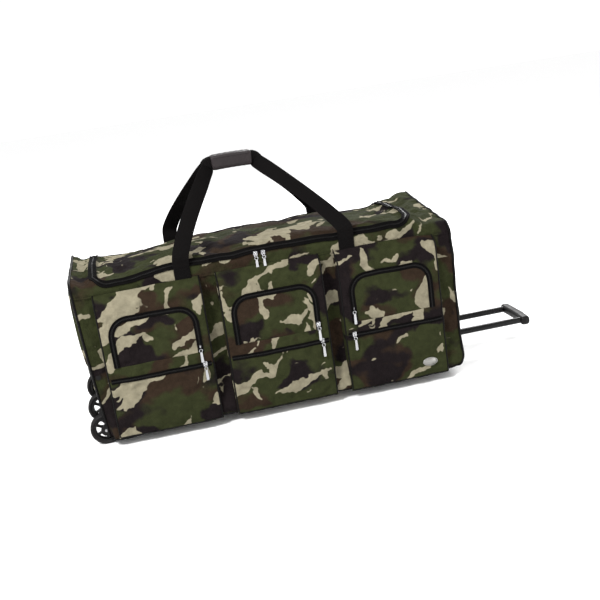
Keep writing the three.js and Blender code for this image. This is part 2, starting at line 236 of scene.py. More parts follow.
def lathe(profile, centre, sides=48):
    """A closed (radius, y) profile turned about the line through centre along Y."""
    turn = np.arange(sides) * 2 * math.pi / sides
    profile = np.asarray(profile, float)
    r, y = profile[:, 0], profile[:, 1]
    ring = np.stack([np.outer(np.cos(turn), r), np.tile(y, (sides, 1)), np.outer(np.sin(turn), r)], -1)
    faces = quads(sides, len(r), close_rows=True, close_columns=True)
    return ring.reshape(-1, 3) + np.asarray(centre), faces


def smooth_step(t):
    t = np.clip(t, 0, 1)
    return t * t * (3 - 2 * t)


def knots(*stops):
    """Values from stop to stop: (first, (cells, next), (cells, next), ...)."""
    values = [float(stops[0])]
    for cells, stop in stops[1:]:
        values += list(np.linspace(values[-1], stop, cells + 1)[1:])
    return np.array(values)


# ------------------------------------------------------------------ the soft shape
# how far the top's front and rear edges hang below TOP, at each of these places along the bag:
# its ends, the main zip's corners, the straps, the middle, halfway between some, and the rear ear
EAR_X = 480
EDGE_X = (
    WHEEL_END, LID_LEFT, (LID_LEFT - STRAP_BASE_X) / 2, -STRAP_BASE_X, 0, STRAP_BASE_X,
    (STRAP_BASE_X + LID_RIGHT) / 2, LID_RIGHT, (LID_RIGHT + HANDLE_END) / 2, EAR_X, HANDLE_END,
)
FRONT_SAG = (10, 20, 14, 0, 0, -2, 0, 0, 12, 24, 26)
REAR_SAG = (10, 26, 30, 18, 6, 11, 20, 14, 2, -10, -2)


def edge_height(sag, x):
    """Height of an edge of the top, smoothed between those places."""
    offsets = np.array([-18, -9, 0, 9, 18])
    return TOP - sum(np.interp(x + o, EDGE_X, sag) for o in offsets) / len(offsets)


def ripple(p, wavelength, seed, waves=8):
    """Smooth random folds of about that wavelength, from -1 to 1."""
    random = np.random.default_rng(seed)
    total = np.zeros(len(p))
    for _ in range(waves):
        direction = unit(random.normal(size=3)) * 2 * math.pi / wavelength
        total += np.sin(p @ direction * random.uniform(0.6, 1.5) + random.uniform(0, 6.28))
    return total / math.sqrt(waves)


def soften(points):
    """Moves points of the flat-sided body to where the sagging, puffed fabric is."""
    p = np.array(points, float).reshape(-1, 3)
    x, y, z = p[:, 0].copy(), p[:, 1].copy(), p[:, 2].copy()
    up = smooth_step((z - 388) / 52)
    across = np.clip((y - ZIP_Y) / (HINGE_Y - ZIP_Y), 0, 1)
    edge = edge_height(FRONT_SAG, x) * (1 - across) + edge_height(REAR_SAG, x) * across
    crown = 9 * np.sin(math.pi * across) * smooth_step((490 - abs(x)) / 60)
    inner = np.sin(math.pi * np.clip(across * 0.8 + 0.1, 0, 1)) ** 0.5
    to_zip = np.minimum(abs(x - LID_LEFT), abs(x - LID_RIGHT))
    ridge = 8 * np.exp(-((to_zip / 13) ** 2)) * (across > 0)
    dip = 11 * np.exp(-(((np.minimum(abs(x + 470), abs(x - 440))) / 17) ** 2))
    calm = 1 - 0.85 * np.exp(-(((x + 14) / 60) ** 2)) * (y < -150)
    creases = 2.6 * ripple(p, 190, 3) + 1.5 * ripple(p, 75, 4) + 0.6 * ripple(p, 38, 9)
    p[:, 2] += up * (edge - TOP + crown + (ridge - dip) * inner + creases * calm)
    height = (z - UNDER) / (TOP - UNDER)
    lean = 26 * (1 - height) * smooth_step((-x - 452) / 44)
    p[:, 0] += lean + 3 * np.sin(math.pi * height) * smooth_step((abs(x) - 440) / 50) * np.sign(x)
    side = smooth_step((abs(y) - 120) / 60)
    low = smooth_step((140 - z) / 118) * smooth_step((x + 505) / 60)
    on_skin = np.clip(1 - (-SIDE - y) / POCKET_DEPTH, 0, 1)
    rear_puff = 6 * np.sin(math.pi * np.clip(height, 0, 1)) + 3 * low
    puff = np.where(y > 0, rear_puff, 29 * low * on_skin)
    folds = 2.0 * ripple(p, 210, 1) + 1.3 * ripple(p, 80, 2) + 0.5 * ripple(p, 38, 10)
    p[:, 1] += side * np.sign(y) * (puff + folds * calm)
    round_corner = smooth_step((x - 452) / 44) * smooth_step((62 - z) / 46)
    p[:, 0] -= 17 * round_corner
    p[:, 2] += 7 * round_corner * smooth_step((40 - z) / 20)
    return p


def top_point(x, y):
    """A point on the flat-sided body's top, round front and rear edges included, and its normal."""
    x, y = np.broadcast_arrays(np.asarray(x, float), np.asarray(y, float))
    over = np.sign(y) * np.maximum(abs(y) - (SIDE - TOP_RADIUS), 0)
    rise = np.sqrt(np.maximum(TOP_RADIUS**2 - over**2, 0))
    point = np.stack([x, y, TOP - TOP_RADIUS + rise], -1)
    return point, unit(np.stack([np.zeros_like(x), over, rise], -1))


def settle(obj, held, cap, pressure=2.0, slack=0.035, frames=18):
    """Lets the fabric between its seams find its own folds: a short cloth simulation of a sheet
    cut a little too large and pushed out from inside, whose held points stay where they are. No
    point moves further than cap millimetres."""
    scene = bpy.context.scene
    sheet = bpy.data.objects.new("sheet", obj.data.copy())
    scene.collection.objects.link(sheet)
    group = sheet.vertex_groups.new(name="held")
    group.add(np.flatnonzero(held).tolist(), 1.0, "REPLACE")
    cloth = sheet.modifiers.new("cloth", "CLOTH")
    settings = cloth.settings
    settings.vertex_group_mass = "held"
    settings.quality = 5
    settings.mass = 0.25
    settings.tension_stiffness = 20
    settings.compression_stiffness = 20
    settings.shear_stiffness = 8
    settings.bending_stiffness = 0.1
    settings.shrink_min = -slack
    settings.use_pressure = True
    settings.uniform_pressure_force = pressure
    settings.effector_weights.gravity = 0.0
    cloth.collision_settings.use_collision = False
    cloth.point_cache.frame_start = 1
    cloth.point_cache.frame_end = frames
    for number in range(1, frames + 1):
        scene.frame_set(number)
    result = sheet.evaluated_get(bpy.context.evaluated_depsgraph_get()).data
    rest = np.zeros(len(obj.data.vertices) * 3)
    moved = np.zeros(len(rest))
    obj.data.vertices.foreach_get("co", rest)
    result.vertices.foreach_get("co", moved)
    shift = (moved - rest).reshape(-1, 3) / MM
    length = np.maximum(np.linalg.norm(shift, axis=1, keepdims=True), 1e-6)
    shift *= cap * np.tanh(length / cap) / length
    obj.data.vertices.foreach_set("co", rest + (shift * MM).ravel())
    obj.data.update()
    data = sheet.data
    bpy.data.objects.remove(sheet)
    bpy.data.meshes.remove(data)
    scene.frame_set(1)


# ------------------------------------------------------------------ camera, light and floor
def make_camera():
    """The photograph's view: from the wheel end's side, a little above, rolled so that the bag
    climbs to the right."""
    azimuth, elevation, roll = (math.radians(a) for a in (-9.417, 15.829, -8.146))
    level = math.cos(elevation)
    back = Vector((math.sin(azimuth) * level, -math.cos(azimuth) * level, math.sin(elevation)))
    right = Vector((math.cos(azimuth), math.sin(azimuth), 0))
    up = back.cross(right)
    rolled = right * math.cos(roll) + up * math.sin(roll)
    upright = up * math.cos(roll) - right * math.sin(roll)
    target = Vector((ORIGIN + np.array([105.2, 0, 235.9])) * MM)
    data = bpy.data.cameras.new("camera")
    data.sensor_width = 36
    data.lens = 56.42
    camera = bpy.data.objects.new("camera", data)
    place = target + back * 2.6557
    rows = [[rolled[i], upright[i], back[i], place[i]] for i in range(3)]
    camera.matrix_world = Matrix(rows + [[0, 0, 0, 1]])
    bpy.context.scene.collection.objects.link(camera)
    bpy.context.scene.camera = camera


def area_light(name, place, aim, size, power):
    data = bpy.data.lights.new(name, "AREA")
    data.size = size
    data.energy = power
    light = bpy.data.objects.new(name, data)
    light.location = place
    light.rotation_euler = (Vector(aim) - Vector(place)).to_track_quat("-Z", "Y").to_euler()
    bpy.context.scene.collection.objects.link(light)


def make_stage():
    world = bpy.data.worlds.new("studio")
    world.use_nodes = True
    background = world.node_tree.nodes["Background"]
    background.inputs["Color"].default_value = (1, 1, 1, 1)
    background.inputs["Strength"].default_value = 1.05
    bpy.context.scene.world = world
    bpy.context.scene.view_settings.view_transform = "Standard"
    area_light("key", (-1.9, -2.0, 2.9), (0, 0, 0.2), 0.9, 172)
    area_light("fill", (2.4, -2.2, 0.9), (0, 0, 0.2), 1.6, 26)
    area_light("rear", (1.2, 2.4, 2.2), (0, 0, 0.2), 1.4, 110)
    data = bpy.data.materials.new("floor")
    data.use_nodes = True
    shader = data.node_tree.nodes["Principled BSDF"]
    shader.inputs["Base Color"].default_value = (0.93, 0.93, 0.93, 1)
    shader.inputs["Roughness"].default_value = 0.9
    reach = 12000
    corners = [(-reach, -reach, 0), (reach, -reach, 0), (reach, reach, 0), (-reach, reach, 0)]
    floor = add_mesh("floor", corners, [(0, 1, 2, 3)], data)


# ------------------------------------------------------------------ materials
class Shader:
    """A node material under construction."""

    def __init__(self, name, roughness=0.5, metallic=0.0, **sockets):
        self.material = bpy.data.materials.new(name)
        self.material.use_nodes = True
        self.tree = self.material.node_tree
        self.bsdf = self.tree.nodes["Principled BSDF"]
        self.bsdf.inputs["Roughness"].default_value = roughness
        self.bsdf.inputs["Metallic"].default_value = metallic
        for key, value in sockets.items():
            self.bsdf.inputs[key.replace("_", " ")].default_value = value
        self.coordinates = self.tree.nodes.new("ShaderNodeTexCoord")

    def node(self, kind, inputs=None, **settings):
        node = self.tree.nodes.new("ShaderNode" + kind)
        for key, value in settings.items():
            setattr(node, key, value)
        for key, value in (inputs or {}).items():
            if isinstance(value, bpy.types.NodeSocket):
                self.tree.links.new(value, node.inputs[key])
            else:
                node.inputs[key].default_value = value
        return node

    def mapped(self, scale=(1, 1, 1), offset=(0, 0, 0), space="Object", turn=(0, 0, 0)):
        inputs = {
            "Vector": self.coordinates.outputs[space],
            "Scale": scale,
            "Location": offset,
            "Rotation": turn,
        }
        return self.node("Mapping", inputs).outputs[0]

    def noise(self, vector, scale, detail=2.0, roughness=0.5):
        inputs = {"Vector": vector, "Scale": scale, "Detail": detail, "Roughness": roughness}
        return self.node("TexNoise", inputs)

    def math(self, operation, *values):
        node = self.node("Math", operation=operation)
        for i, value in enumerate(values):
            if isinstance(value, bpy.types.NodeSocket):
                self.tree.links.new(value, node.inputs[i])
            else:
                node.inputs[i].default_value = value
        return node.outputs[0]

    def ramp(self, value, stops, interpolation="LINEAR"):
        node = self.node("ValToRGB", {"Fac": value})
        node.color_ramp.interpolation = interpolation
        elements = node.color_ramp.elements
        while len(elements) < len(stops):
            elements.new(0.5)
        for element, (place, colour) in zip(elements, stops):
            element.position = place
            element.color = (*colour, 1) if len(colour) == 3 else colour
        return node.outputs[0]

    def mix(self, factor, a, b, blend="MIX"):
        node = self.node("Mix", data_type="RGBA", blend_type=blend)
        for socket, value in ((node.inputs[0], factor), (node.inputs[6], a), (node.inputs[7], b)):
            if isinstance(value, bpy.types.NodeSocket):
                self.tree.links.new(value, socket)
            else:
                socket.default_value = value if isinstance(value, float) else (*value, 1)
        return node.outputs[2]

    def bump(self, height, distance, strength=1.0, under=None):
        inputs = {"Height": height, "Distance": distance, "Strength": strength}
        if under is not None:
            inputs["Normal"] = under
        return self.node("Bump", inputs).outputs[0]

    def finish(self, colour=None, roughness=None, normal=None):
        for key, value in (("Base Color", colour), ("Roughness", roughness), ("Normal", normal)):
            if value is not None:
                self.tree.links.new(value, self.bsdf.inputs[key])
        return self.material


TAN = (0.200, 0.180, 0.125)
GREEN = (0.0215, 0.0245, 0.0095)
BROWN = (0.0215, 0.0135, 0.0085)
DARK = (0.0080, 0.0058, 0.0062)


def weave(shader, period=0.0011):
    """Height of a plain weave that shows on every side of the bag."""
    scale = 0.314 / period
    spun = shader.mapped(turn=(0.0, 0.0, 0.35))
    bands = []
    for direction in ("X", "Z"):
        node = shader.node(
            "TexWave",
            {"Vector": spun, "Scale": scale, "Distortion": 0.6, "Detail": 1.0},
            bands_direction=direction,
        )
        bands.append(node.outputs["Fac"])
    return shader.math("MULTIPLY", *bands)


def camouflage(name, offset, slant, stroke, bar):
    """Woven polyester with a four-colour print: soft dark blotches on green, and ragged tan
    strokes and upright bars on top. slant turns the strokes; stroke and bar are the levels that
    the noise must pass to print tan, so a higher one prints less."""
    shader = Shader(name, roughness=0.85, Specular_IOR_Level=0.05)
    place = shader.mapped(offset=offset)
    bent = place
    for scale, reach in ((9.0, 0.10), (36.0, 0.026)):
        wander = shader.noise(place, scale, 2.0, 0.55).outputs["Color"]
        push = shader.node("VectorMath", {0: wander, 1: (0.5, 0.5, 0.5)}, operation="SUBTRACT")
        push = shader.node("VectorMath", {0: push.outputs[0], 3: reach}, operation="SCALE")
        bent = shader.node("VectorMath", {0: bent, 1: push.outputs[0]}, operation="ADD").outputs[0]

    def patches(scale, shift, low, high, detail=1.2, turn=0.0):
        turned = shader.node("Mapping", {"Vector": bent, "Rotation": (0, turn, 0)}).outputs[0]
        stretched = shader.node("Mapping", {"Vector": turned, "Scale": scale, "Location": shift})
        value = shader.noise(stretched.outputs[0], 1.0, detail, 0.45).outputs[0]
        return shader.ramp(value, [(low, (0, 0, 0)), (high, (1, 1, 1))])

    brown = patches((5.5, 8.0, 11.0), (3.1, 0.4, 1.7), 0.525, 0.585)
    dark = patches((6.5, 9.0, 12.0), (0.2, 5.2, 7.3), 0.55, 0.60)
    strokes = patches((5.2, 8.0, 25.0), (9.4, 2.2, 4.1), stroke, stroke + 0.006, 1.4, slant)
    bars = patches((19.0, 14.0, 7.0), (7.7, 3.3, 2.9), bar, bar + 0.006, 1.2)
    tan = shader.math("MAXIMUM", strokes, bars)
    colour = shader.mix(brown, GREEN, BROWN)
    colour = shader.mix(dark, colour, DARK)
    colour = shader.mix(tan, colour, TAN)
    fade = shader.noise(place, 60.0, 3.0).outputs[0]
    fade = shader.ramp(fade, [(0.3, (0.82,) * 3), (0.7, (1.12,) * 3)])
    colour = shader.mix(1.0, colour, fade, "MULTIPLY")
    threads = weave(shader)
    shading = shader.ramp(threads, [(0, (0.84,) * 3), (1, (1.1,) * 3)])
    colour = shader.mix(1.0, colour, shading, "MULTIPLY")
    crumple = shader.noise(place, 26.0, 4.0, 0.55).outputs[0]
    crease = shader.noise(bent, 8.0, 3.0, 0.5).outputs[0]
    crease = shader.math("ABSOLUTE", shader.math("SUBTRACT", crease, 0.5))
    crease = shader.ramp(crease, [(0.0, (0, 0, 0)), (0.05, (1, 1, 1))])
    normal = shader.bump(crumple, 0.012, 0.7)
    normal = shader.bump(crease, 0.0014, 0.6, normal)
    normal = shader.bump(threads, 0.0003, 0.5, normal)
    rough = shader.ramp(threads, [(0, (0.94,) * 3), (1, (0.78,) * 3)])
    return shader.finish(colour, rough, normal)


def webbing_material():
    shader = Shader("black_webbing", roughness=0.8, Specular_IOR_Level=0.03)
    ribs = shader.node(
        "TexWave",
        {"Vector": shader.mapped((1.0, 0.5, 1.0), space="UV"), "Scale": 0.2, "Distortion": 0.4},
        bands_direction="Y",
    ).outputs["Fac"]
    lines = shader.node(
        "TexWave",
        {"Vector": shader.mapped(space="UV"), "Scale": 0.12, "Distortion": 0.2},
        bands_direction="X",
    ).outputs["Fac"]
    height = shader.math("ADD", ribs, shader.math("MULTIPLY", lines, 0.6))
    worn = shader.noise(shader.mapped(), 40.0, 3.0).outputs[0]
    colour = shader.mix(worn, (0.0014, 0.0012, 0.0012), (0.0036, 0.0031, 0.0031))
    # the rib crests are painted lighter: a painted highlight along the ribs
    colour = shader.mix(shader.math("MULTIPLY", ribs, 0.25), colour, (0.009, 0.008, 0.008))
    rough = shader.ramp(worn, [(0.2, (0.6,) * 3), (0.8, (0.85,) * 3)])
    return shader.finish(colour, rough, shader.bump(height, 0.0006, 0.6))


def grained(name, dark, light, roughness, scale, depth, metallic=0.0, wear=0.12, **sockets):
    """A moulded, cast or coated surface: fine grain, slow colour change and uneven gloss."""
    shader = Shader(name, roughness, metallic, **sockets)
    place = shader.mapped()
    slow = shader.noise(place, 18.0, 4.0).outputs[0]
    fine = shader.noise(place, scale, 3.0, 0.6).outputs[0]
    colour = shader.mix(slow, dark, light)
    low, high = max(roughness - wear, 0.05), min(roughness + wear, 1.0)
    rough = shader.ramp(slow, [(0.3, (low,) * 3), (0.7, (high,) * 3)])
    return shader.finish(colour, rough, shader.bump(fine, depth, 0.4))


def leather_material():
    shader = Shader("wrap_leather", roughness=0.4, Specular_IOR_Level=0.25)
    place = shader.mapped()
    cells = shader.node("TexVoronoi", {"Vector": place, "Scale": 420.0}, feature="DISTANCE_TO_EDGE")
    pores = shader.ramp(cells.outputs[0], [(0.0, (0, 0, 0)), (0.12, (1, 1, 1))])
    slow = shader.noise(place, 30.0, 4.0).outputs[0]
    colour = shader.mix(slow, (0.006, 0.004, 0.0045), (0.018, 0.012, 0.013))
    colour = shader.mix(0.25, colour, pores, "MULTIPLY")
    rough = shader.ramp(slow, [(0.3, (0.34,) * 3), (0.7, (0.55,) * 3)])
    normal = shader.bump(slow, 0.004, 0.25)
    return shader.finish(colour, rough, shader.bump(pores, 0.0004, 0.5, normal))


def tape_material():
    shader = Shader("zip_tape", roughness=0.85, Specular_IOR_Level=0.03)
    ribs = shader.node(
        "TexWave",
        {"Vector": shader.mapped(space="UV"), "Scale": 0.25, "Distortion": 0.3},
        bands_direction="Y",
    ).outputs["Fac"]
    slow = shader.noise(shader.mapped(), 50.0, 2.0).outputs[0]
    colour = shader.mix(slow, (0.0014, 0.0013, 0.0013), (0.0036, 0.0032, 0.0032))
    return shader.finish(colour, None, shader.bump(ribs, 0.0003, 0.5))


body_fabric = camouflage("camouflage_body", (0.0, 0.0, 0.0), 0.35, 0.603, 0.655)
end_fabric = camouflage("camouflage_ends", (0.3, 2.1, 0.9), 0.35, 0.603, 0.655)
upper_cut = camouflage("camouflage_upper", (2.3, 0.0, 1.1), 0.5, 0.625, 0.640)
lower_cut = camouflage("camouflage_lower", (5.9, 0.0, 2.6), 0.42, 0.575, 0.72)
flap_cut = camouflage("camouflage_flap", (8.2, 0.0, 4.4), 0.3, 0.655, 0.650)
webbing = webbing_material()
leather = leather_material()
tape = tape_material()
plastic = grained(
    "black_plastic", (0.003, 0.0028, 0.0028), (0.007, 0.0065, 0.0065), 0.4, 900.0, 0.0003,
    Specular_IOR_Level=0.12,
)
piping_vinyl = grained(
    "piping_vinyl", (0.0015, 0.0014, 0.0014), (0.004, 0.0035, 0.0035), 0.5, 700.0, 0.0003,
    Specular_IOR_Level=0.08,
)
teeth_plastic = grained(
    "zip_teeth", (0.003, 0.003, 0.003), (0.008, 0.0075, 0.0075), 0.4, 800.0, 0.0002,
    Specular_IOR_Level=0.12,
)
rubber = grained(
    "tyre_rubber", (0.006, 0.0055, 0.0055), (0.014, 0.013, 0.013), 0.6, 600.0, 0.0004,
    Specular_IOR_Level=0.1,
)
tube_paint = grained(
    "black_tube", (0.002, 0.002, 0.002), (0.005, 0.005, 0.005), 0.25, 300.0, 0.0001,
    Specular_IOR_Level=0.16,
)
steel = grained("inner_steel", (0.22, 0.22, 0.23), (0.36, 0.36, 0.36), 0.34, 500.0, 0.0002, 1.0)
chrome = grained(
    "zip_metal", (0.26, 0.26, 0.27), (0.50, 0.50, 0.51), 0.22, 400.0, 0.0002, 1.0, 0.07
)
nickel = grained("badge_nickel", (0.20, 0.20, 0.19), (0.34, 0.33, 0.31), 0.42, 500.0, 0.0003, 1.0)
lining = grained(
    "lining", (0.012, 0.012, 0.013), (0.022, 0.022, 0.023), 0.75, 260.0, 0.0005,
    Specular_IOR_Level=0.05,
)
board = grained("base_board", (0.02, 0.02, 0.02), (0.04, 0.04, 0.04), 0.8, 500.0, 0.0004)


# ------------------------------------------------------------------ fabric body
# A section runs up the front, over the top, down the back and along the bottom.
FRONT_CELLS = ((24, CUT_Z), (26, 396), (2, SEAM_Z), (2, 410), (2, TOP - TOP_RADIUS))
ARC_CELLS = 8


def section(bottom_radius):
    r, low = bottom_radius, UNDER + bottom_radius
    rise = knots(low, *FRONT_CELLS)
    flat = SIDE - TOP_RADIUS
    turn = np.linspace(0, math.pi / 2, ARC_CELLS + 1)[1:]
    points = [(-SIDE, z) for z in rise]
    over, base = TOP_RADIUS, TOP - TOP_RADIUS
    points += [(-flat - over * math.cos(t), base + over * math.sin(t)) for t in turn]
    points += [(y, TOP) for y in knots(-flat, (46, HINGE_Y), (1, flat))[1:]]
    points += [(flat + over * math.sin(t), base + over * math.cos(t)) for t in turn]
    points += [(SIDE, z) for z in rise[::-1][1:]]
    bend = np.linspace(0, math.pi / 2, 7)[1:]
    points += [(SIDE - r + r * math.cos(t), low - r * math.sin(t)) for t in bend]
    points += [(y, UNDER) for y in knots(SIDE - r, (9, CUT_Y), (26, -CUT_Y), (9, r - SIDE))[1:]]
    points += [(-SIDE + r - r * math.sin(t), low - r * math.cos(t)) for t in bend[:-1]]
    return np.array(points)


def bottom_radius(x):
    """The lower edges are round, and square at the wheels."""
    return 4 + (BOTTOM_RADIUS - 4) * smooth_step((x - CUT_X) / 90)


FRONT_COUNT = 1 + sum(cells for cells, _ in FRONT_CELLS)
ZIP_INDEX = FRONT_COUNT - 1 + ARC_CELLS // 2
HINGE_INDEX = FRONT_COUNT - 1 + ARC_CELLS + 46
stations = knots(WHEEL_END, (9, LID_LEFT), (2, CUT_X), (112, LID_RIGHT), (14, HANDLE_END))


def corner_reach(x, y):
    """Distance from the centre of the zip's nearer front corner, or None off the corner."""
    left = x < (LID_LEFT + LID_RIGHT) / 2
    centre_x = np.where(left, LID_LEFT + ZIP_CORNER, LID_RIGHT - ZIP_CORNER)
    centre_y = ZIP_Y + ZIP_CORNER
    beyond = np.where(left, centre_x - x, x - centre_x)
    inside = (beyond > -0.5) & (y < centre_y + 0.5)
    return np.where(inside, np.hypot(x - centre_x, y - centre_y), 0), centre_x, centre_y


def body_grid():
    """Vertices of the whole skin, with those beside the zip's round corners moved onto them."""
    rings = [section(bottom_radius(x)) for x in stations]
    grid = np.stack(
        [np.column_stack([np.full(len(ring), x), ring]) for x, ring in zip(stations, rings)]
    )
    count = grid.shape[1]
    flat = grid.reshape(-1, 3)
    on_top = np.tile((np.arange(count) >= ZIP_INDEX) & (np.arange(count) <= HINGE_INDEX), len(grid))
    reach, cx, cy = corner_reach(flat[:, 0], flat[:, 1])
    near = on_top & (abs(reach - ZIP_CORNER) < 4.2) & (reach > 0)
    factor = np.where(near, ZIP_CORNER / np.maximum(reach, 1), 1)
    x = cx + (flat[:, 0] - cx) * factor
    y = cy + (flat[:, 1] - cy) * factor
    moved, _ = top_point(x, y)
    flat[near] = moved[near]
    return flat, len(grid), count


def split_faces(flat, rows, columns):
    """Faces of the body and of the lid, without those cut out for the wheels."""
    body_faces, lid_faces = [], []
    for face in quads(rows, columns, close_columns=True):
        face = face[::-1]
        i, j = face[-1] // columns, face[-1] % columns
        cx, cy, cz = flat[list(face)].mean(0)
        if ZIP_INDEX <= j < HINGE_INDEX and LID_LEFT < cx < LID_RIGHT:
            reach = float(corner_reach(cx, cy)[0])
            (lid_faces if reach < ZIP_CORNER else body_faces).append(face)
        elif not (cx < CUT_X and abs(cy) > CUT_Y and cz < UNDER + 4):
            body_faces.append(face)
    return body_faces, lid_faces


def tidy(verts, faces):
    """Only the vertices that the faces use."""
    used = sorted({i for face in faces for i in face})
    index = {old: new for new, old in enumerate(used)}
    return verts[used], [[index[i] for i in face] for face in faces]


def near_zip(flat, margin):
    """Which points of the top are within margin of the main zip or the lid's rear edge."""
    x, y = flat[:, 0], flat[:, 1]
    reach, _, _ = corner_reach(x, y)
    outside = np.maximum.reduce([LID_LEFT - x, x - LID_RIGHT, ZIP_Y - y, y - HINGE_Y])
    outside = np.where(reach > 0, reach - ZIP_CORNER, outside)
    return (abs(outside) < margin) & (flat[:, 2] > TOP - TOP_RADIUS)


def body_held(flat):
    """Points of the body's skin at its seams, behind its pockets and under its strap tabs."""
    x, y, z = flat.T
    held = (x < WHEEL_END + 7) | (x > HANDLE_END - 7) | (z < UNDER + 12) | near_zip(flat, 15)
    held |= (abs(abs(x) - STRAP_BASE_X) < 27) & (z > SEAM_Z - 8) & (abs(y) > 150)
    held |= (y < 0) & (abs(z - SEAM_Z) < 2)
    held |= (x < CUT_X + 8) & (z < CUT_Z + 8) & (abs(y) > CUT_Y - 8)
    for name in POCKETS:
        low, high = local(f"pocket_{name}")
        held |= (y < -150) & (x > low[0] - 5) & (x < high[0] + 5) & (z < high[2] + 20)
    return held


def line_inside(piece):
    """Gives a fabric surface its thickness, with lining on its inner side."""
    piece.data.materials.append(lining)
    modify(piece, "SOLIDIFY", thickness=0.0018, offset=-1, material_offset=1)


def follow_lid(piece):
    """Bakes the piece's placement into its mesh."""
    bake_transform(piece)


def make_body():
    flat, rows, columns = body_grid()
    body_faces, lid_faces = split_faces(flat, rows, columns)
    body_flat, body_faces = tidy(flat, body_faces)
    lid_flat, lid_faces = tidy(flat, lid_faces)
    skin = add_mesh(
        "body_fabric", soften(body_flat), body_faces, body_fabric, "root", replaces="bag_shell"
    )
    settle(skin, body_held(body_flat), 8, pressure=0.8)
    line_inside(skin)
    lid = add_mesh("lid_fabric", soften(lid_flat), lid_faces, body_fabric, replaces="top_lid")
    settle(lid, near_zip(lid_flat, 15), 8, pressure=0.6)
    line_inside(lid)
    follow_lid(lid)


def make_end(name, x, bulge):
    """An end panel; the wheel end's is cut away round the wheels."""
    wheels = x < 0
    profile = section(bottom_radius(x))
    top = profile[: FRONT_COUNT + ARC_CELLS]
    low = profile[-6:]
    half = np.concatenate([low, top])
    share = CUT_Y / SIDE
    spread = knots(-1, (10, -share), (22, share), (10, 1))
    rows = []
    for y, z in half:
        height = np.clip((z - UNDER) / (TOP - UNDER), 0, 1)
        swell = bulge * (1 - spread**2) ** 0.7 * (1 - (2 * height - 1) ** 2) ** 0.7
        rows.append(np.column_stack([x + np.sign(x) * swell, spread * -y, np.full(len(spread), z)]))
    flat = np.concatenate(rows)
    faces = []
    for face in quads(len(rows), len(spread)):
        _, cy, cz = flat[list(face)].mean(0)
        if wheels and abs(cy) > CUT_Y and cz < CUT_Z:
            continue
        faces.append(face[::-1] if wheels else face)
    placed = soften(flat)
    placed[:, 0] += 1.5 * ripple(flat, 160, 5) * (abs(flat[:, 1]) < 186)
    placed, kept = tidy(placed, faces)
    flat, _ = tidy(flat, faces)
    panel = add_mesh(name, placed, kept, end_fabric, "root")
    held = (abs(flat[:, 1]) > SIDE - 8) | (flat[:, 2] > TOP - 9) | (flat[:, 2] < UNDER + 9)
    if wheels:
        held |= (abs(flat[:, 1]) > CUT_Y - 8) & (flat[:, 2] < CUT_Z + 8)
    else:
        held |= (abs(flat[:, 1]) < 92) & (flat[:, 2] < 106)
    settle(panel, held, 8, pressure=0.8)
    line_inside(panel)


def bead(name, path, across, radius, closed=False, sides=10):
    """Round vinyl piping along a path on the body."""
    verts, faces, _ = sweep(path, across, circle(radius, sides), closed)
    add_mesh(name, verts, faces, piping_vinyl, "root")


def body_bead(name, flat_path, radius, closed=False):
    """Piping on the softened surface, along a path laid out on the flat-sided body."""
    path = soften(flat_path)
    along = tangents(path, closed)
    bead(name, path, np.where(abs(along[:, :1]) > 0.7, Z_AXIS, X_AXIS), radius, closed)


def stitch_line(path, across, length=3.2, gap=1.6, radius=0.4):
    """Verts and faces of a row of stitches along a path."""
    path = resample(path, length + gap)
    along = tangents(path)
    parts = []
    for k in range(len(path) - 1):
        run = np.array([path[k], path[k] + along[k] * length])
        parts.append(sweep(run, across, circle(radius, 6))[:2])
    return joined(parts)


def make_seams():
    """The felled seams across front and rear that the strap tabs are sewn into, and the one
    along the lid's hinge, with their stitches."""
    for side, sign in SIDES:
        x = np.linspace(WHEEL_END + 4, HANDLE_END - 4, 180)
        flat = np.column_stack([x, np.full(180, SIDE * sign), np.full(180, SEAM_Z)])
        path = soften(flat) + np.array([0, 0.7 * sign, 0])
        verts, faces, _ = sweep(path, Z_AXIS, rounded(8.0, 1.4, 0.6, 2))
        add_mesh(f"seam_band_{side}", verts, faces, body_fabric, "root")
        rows = [stitch_line(path + (0, 0.7 * sign, lift), Z_AXIS) for lift in (-2.6, 2.6)]
        add_mesh(f"seam_stitches_{side}", *joined(rows), tape, "root", smooth=False)
    x = np.linspace(LID_LEFT + 8, LID_RIGHT - 8, 150)
    flat, _ = top_point(x, np.full(150, HINGE_Y + 1.0))
    path = soften(flat) + np.array([0, 0, 0.6])
    verts, faces, uv = sweep(path, Y_AXIS, rounded(9.0, 1.2, 0.5, 2))
    add_mesh("hinge_binding", verts, faces, tape, "root", uv=uv)


def make_piping():
    """Piping round both end panels and along the bottom edges, and binding round the wheels."""

    def around(x):
        profile = section(bottom_radius(x))
        return np.column_stack([np.full(len(profile), x), profile])

    body_bead("piping_handle_end", around(HANDLE_END), 3.4, closed=True)
    x = WHEEL_END
    above_wheels = 2 * FRONT_COUNT + 2 * ARC_CELLS + 45
    body_bead("piping_wheel_end", around(x)[:above_wheels], 3.4)
    body_bead("piping_wheel_end_low", [(x, y, UNDER) for y in np.linspace(-CUT_Y, CUT_Y, 24)], 3.0)
    for side, sign in SIDES:
        edge = [(x, sign * CUT_Y, z) for z in np.linspace(UNDER, CUT_Z, 20)]
        edge += [(x, sign * y, CUT_Z) for y in np.linspace(CUT_Y, SIDE, 12)[1:]]
        body_bead(f"binding_wheel_{side}", edge, 2.6)
    for side, sign in SIDES:
        edge = []
        for x in np.linspace(WHEEL_END + 2, HANDLE_END - 2, 90):
            inset = bottom_radius(x) * (1 - math.sqrt(0.5))
            edge.append((x, sign * (SIDE - inset), UNDER + inset))
        body_bead(f"piping_bottom_{side}", edge, 2.6)


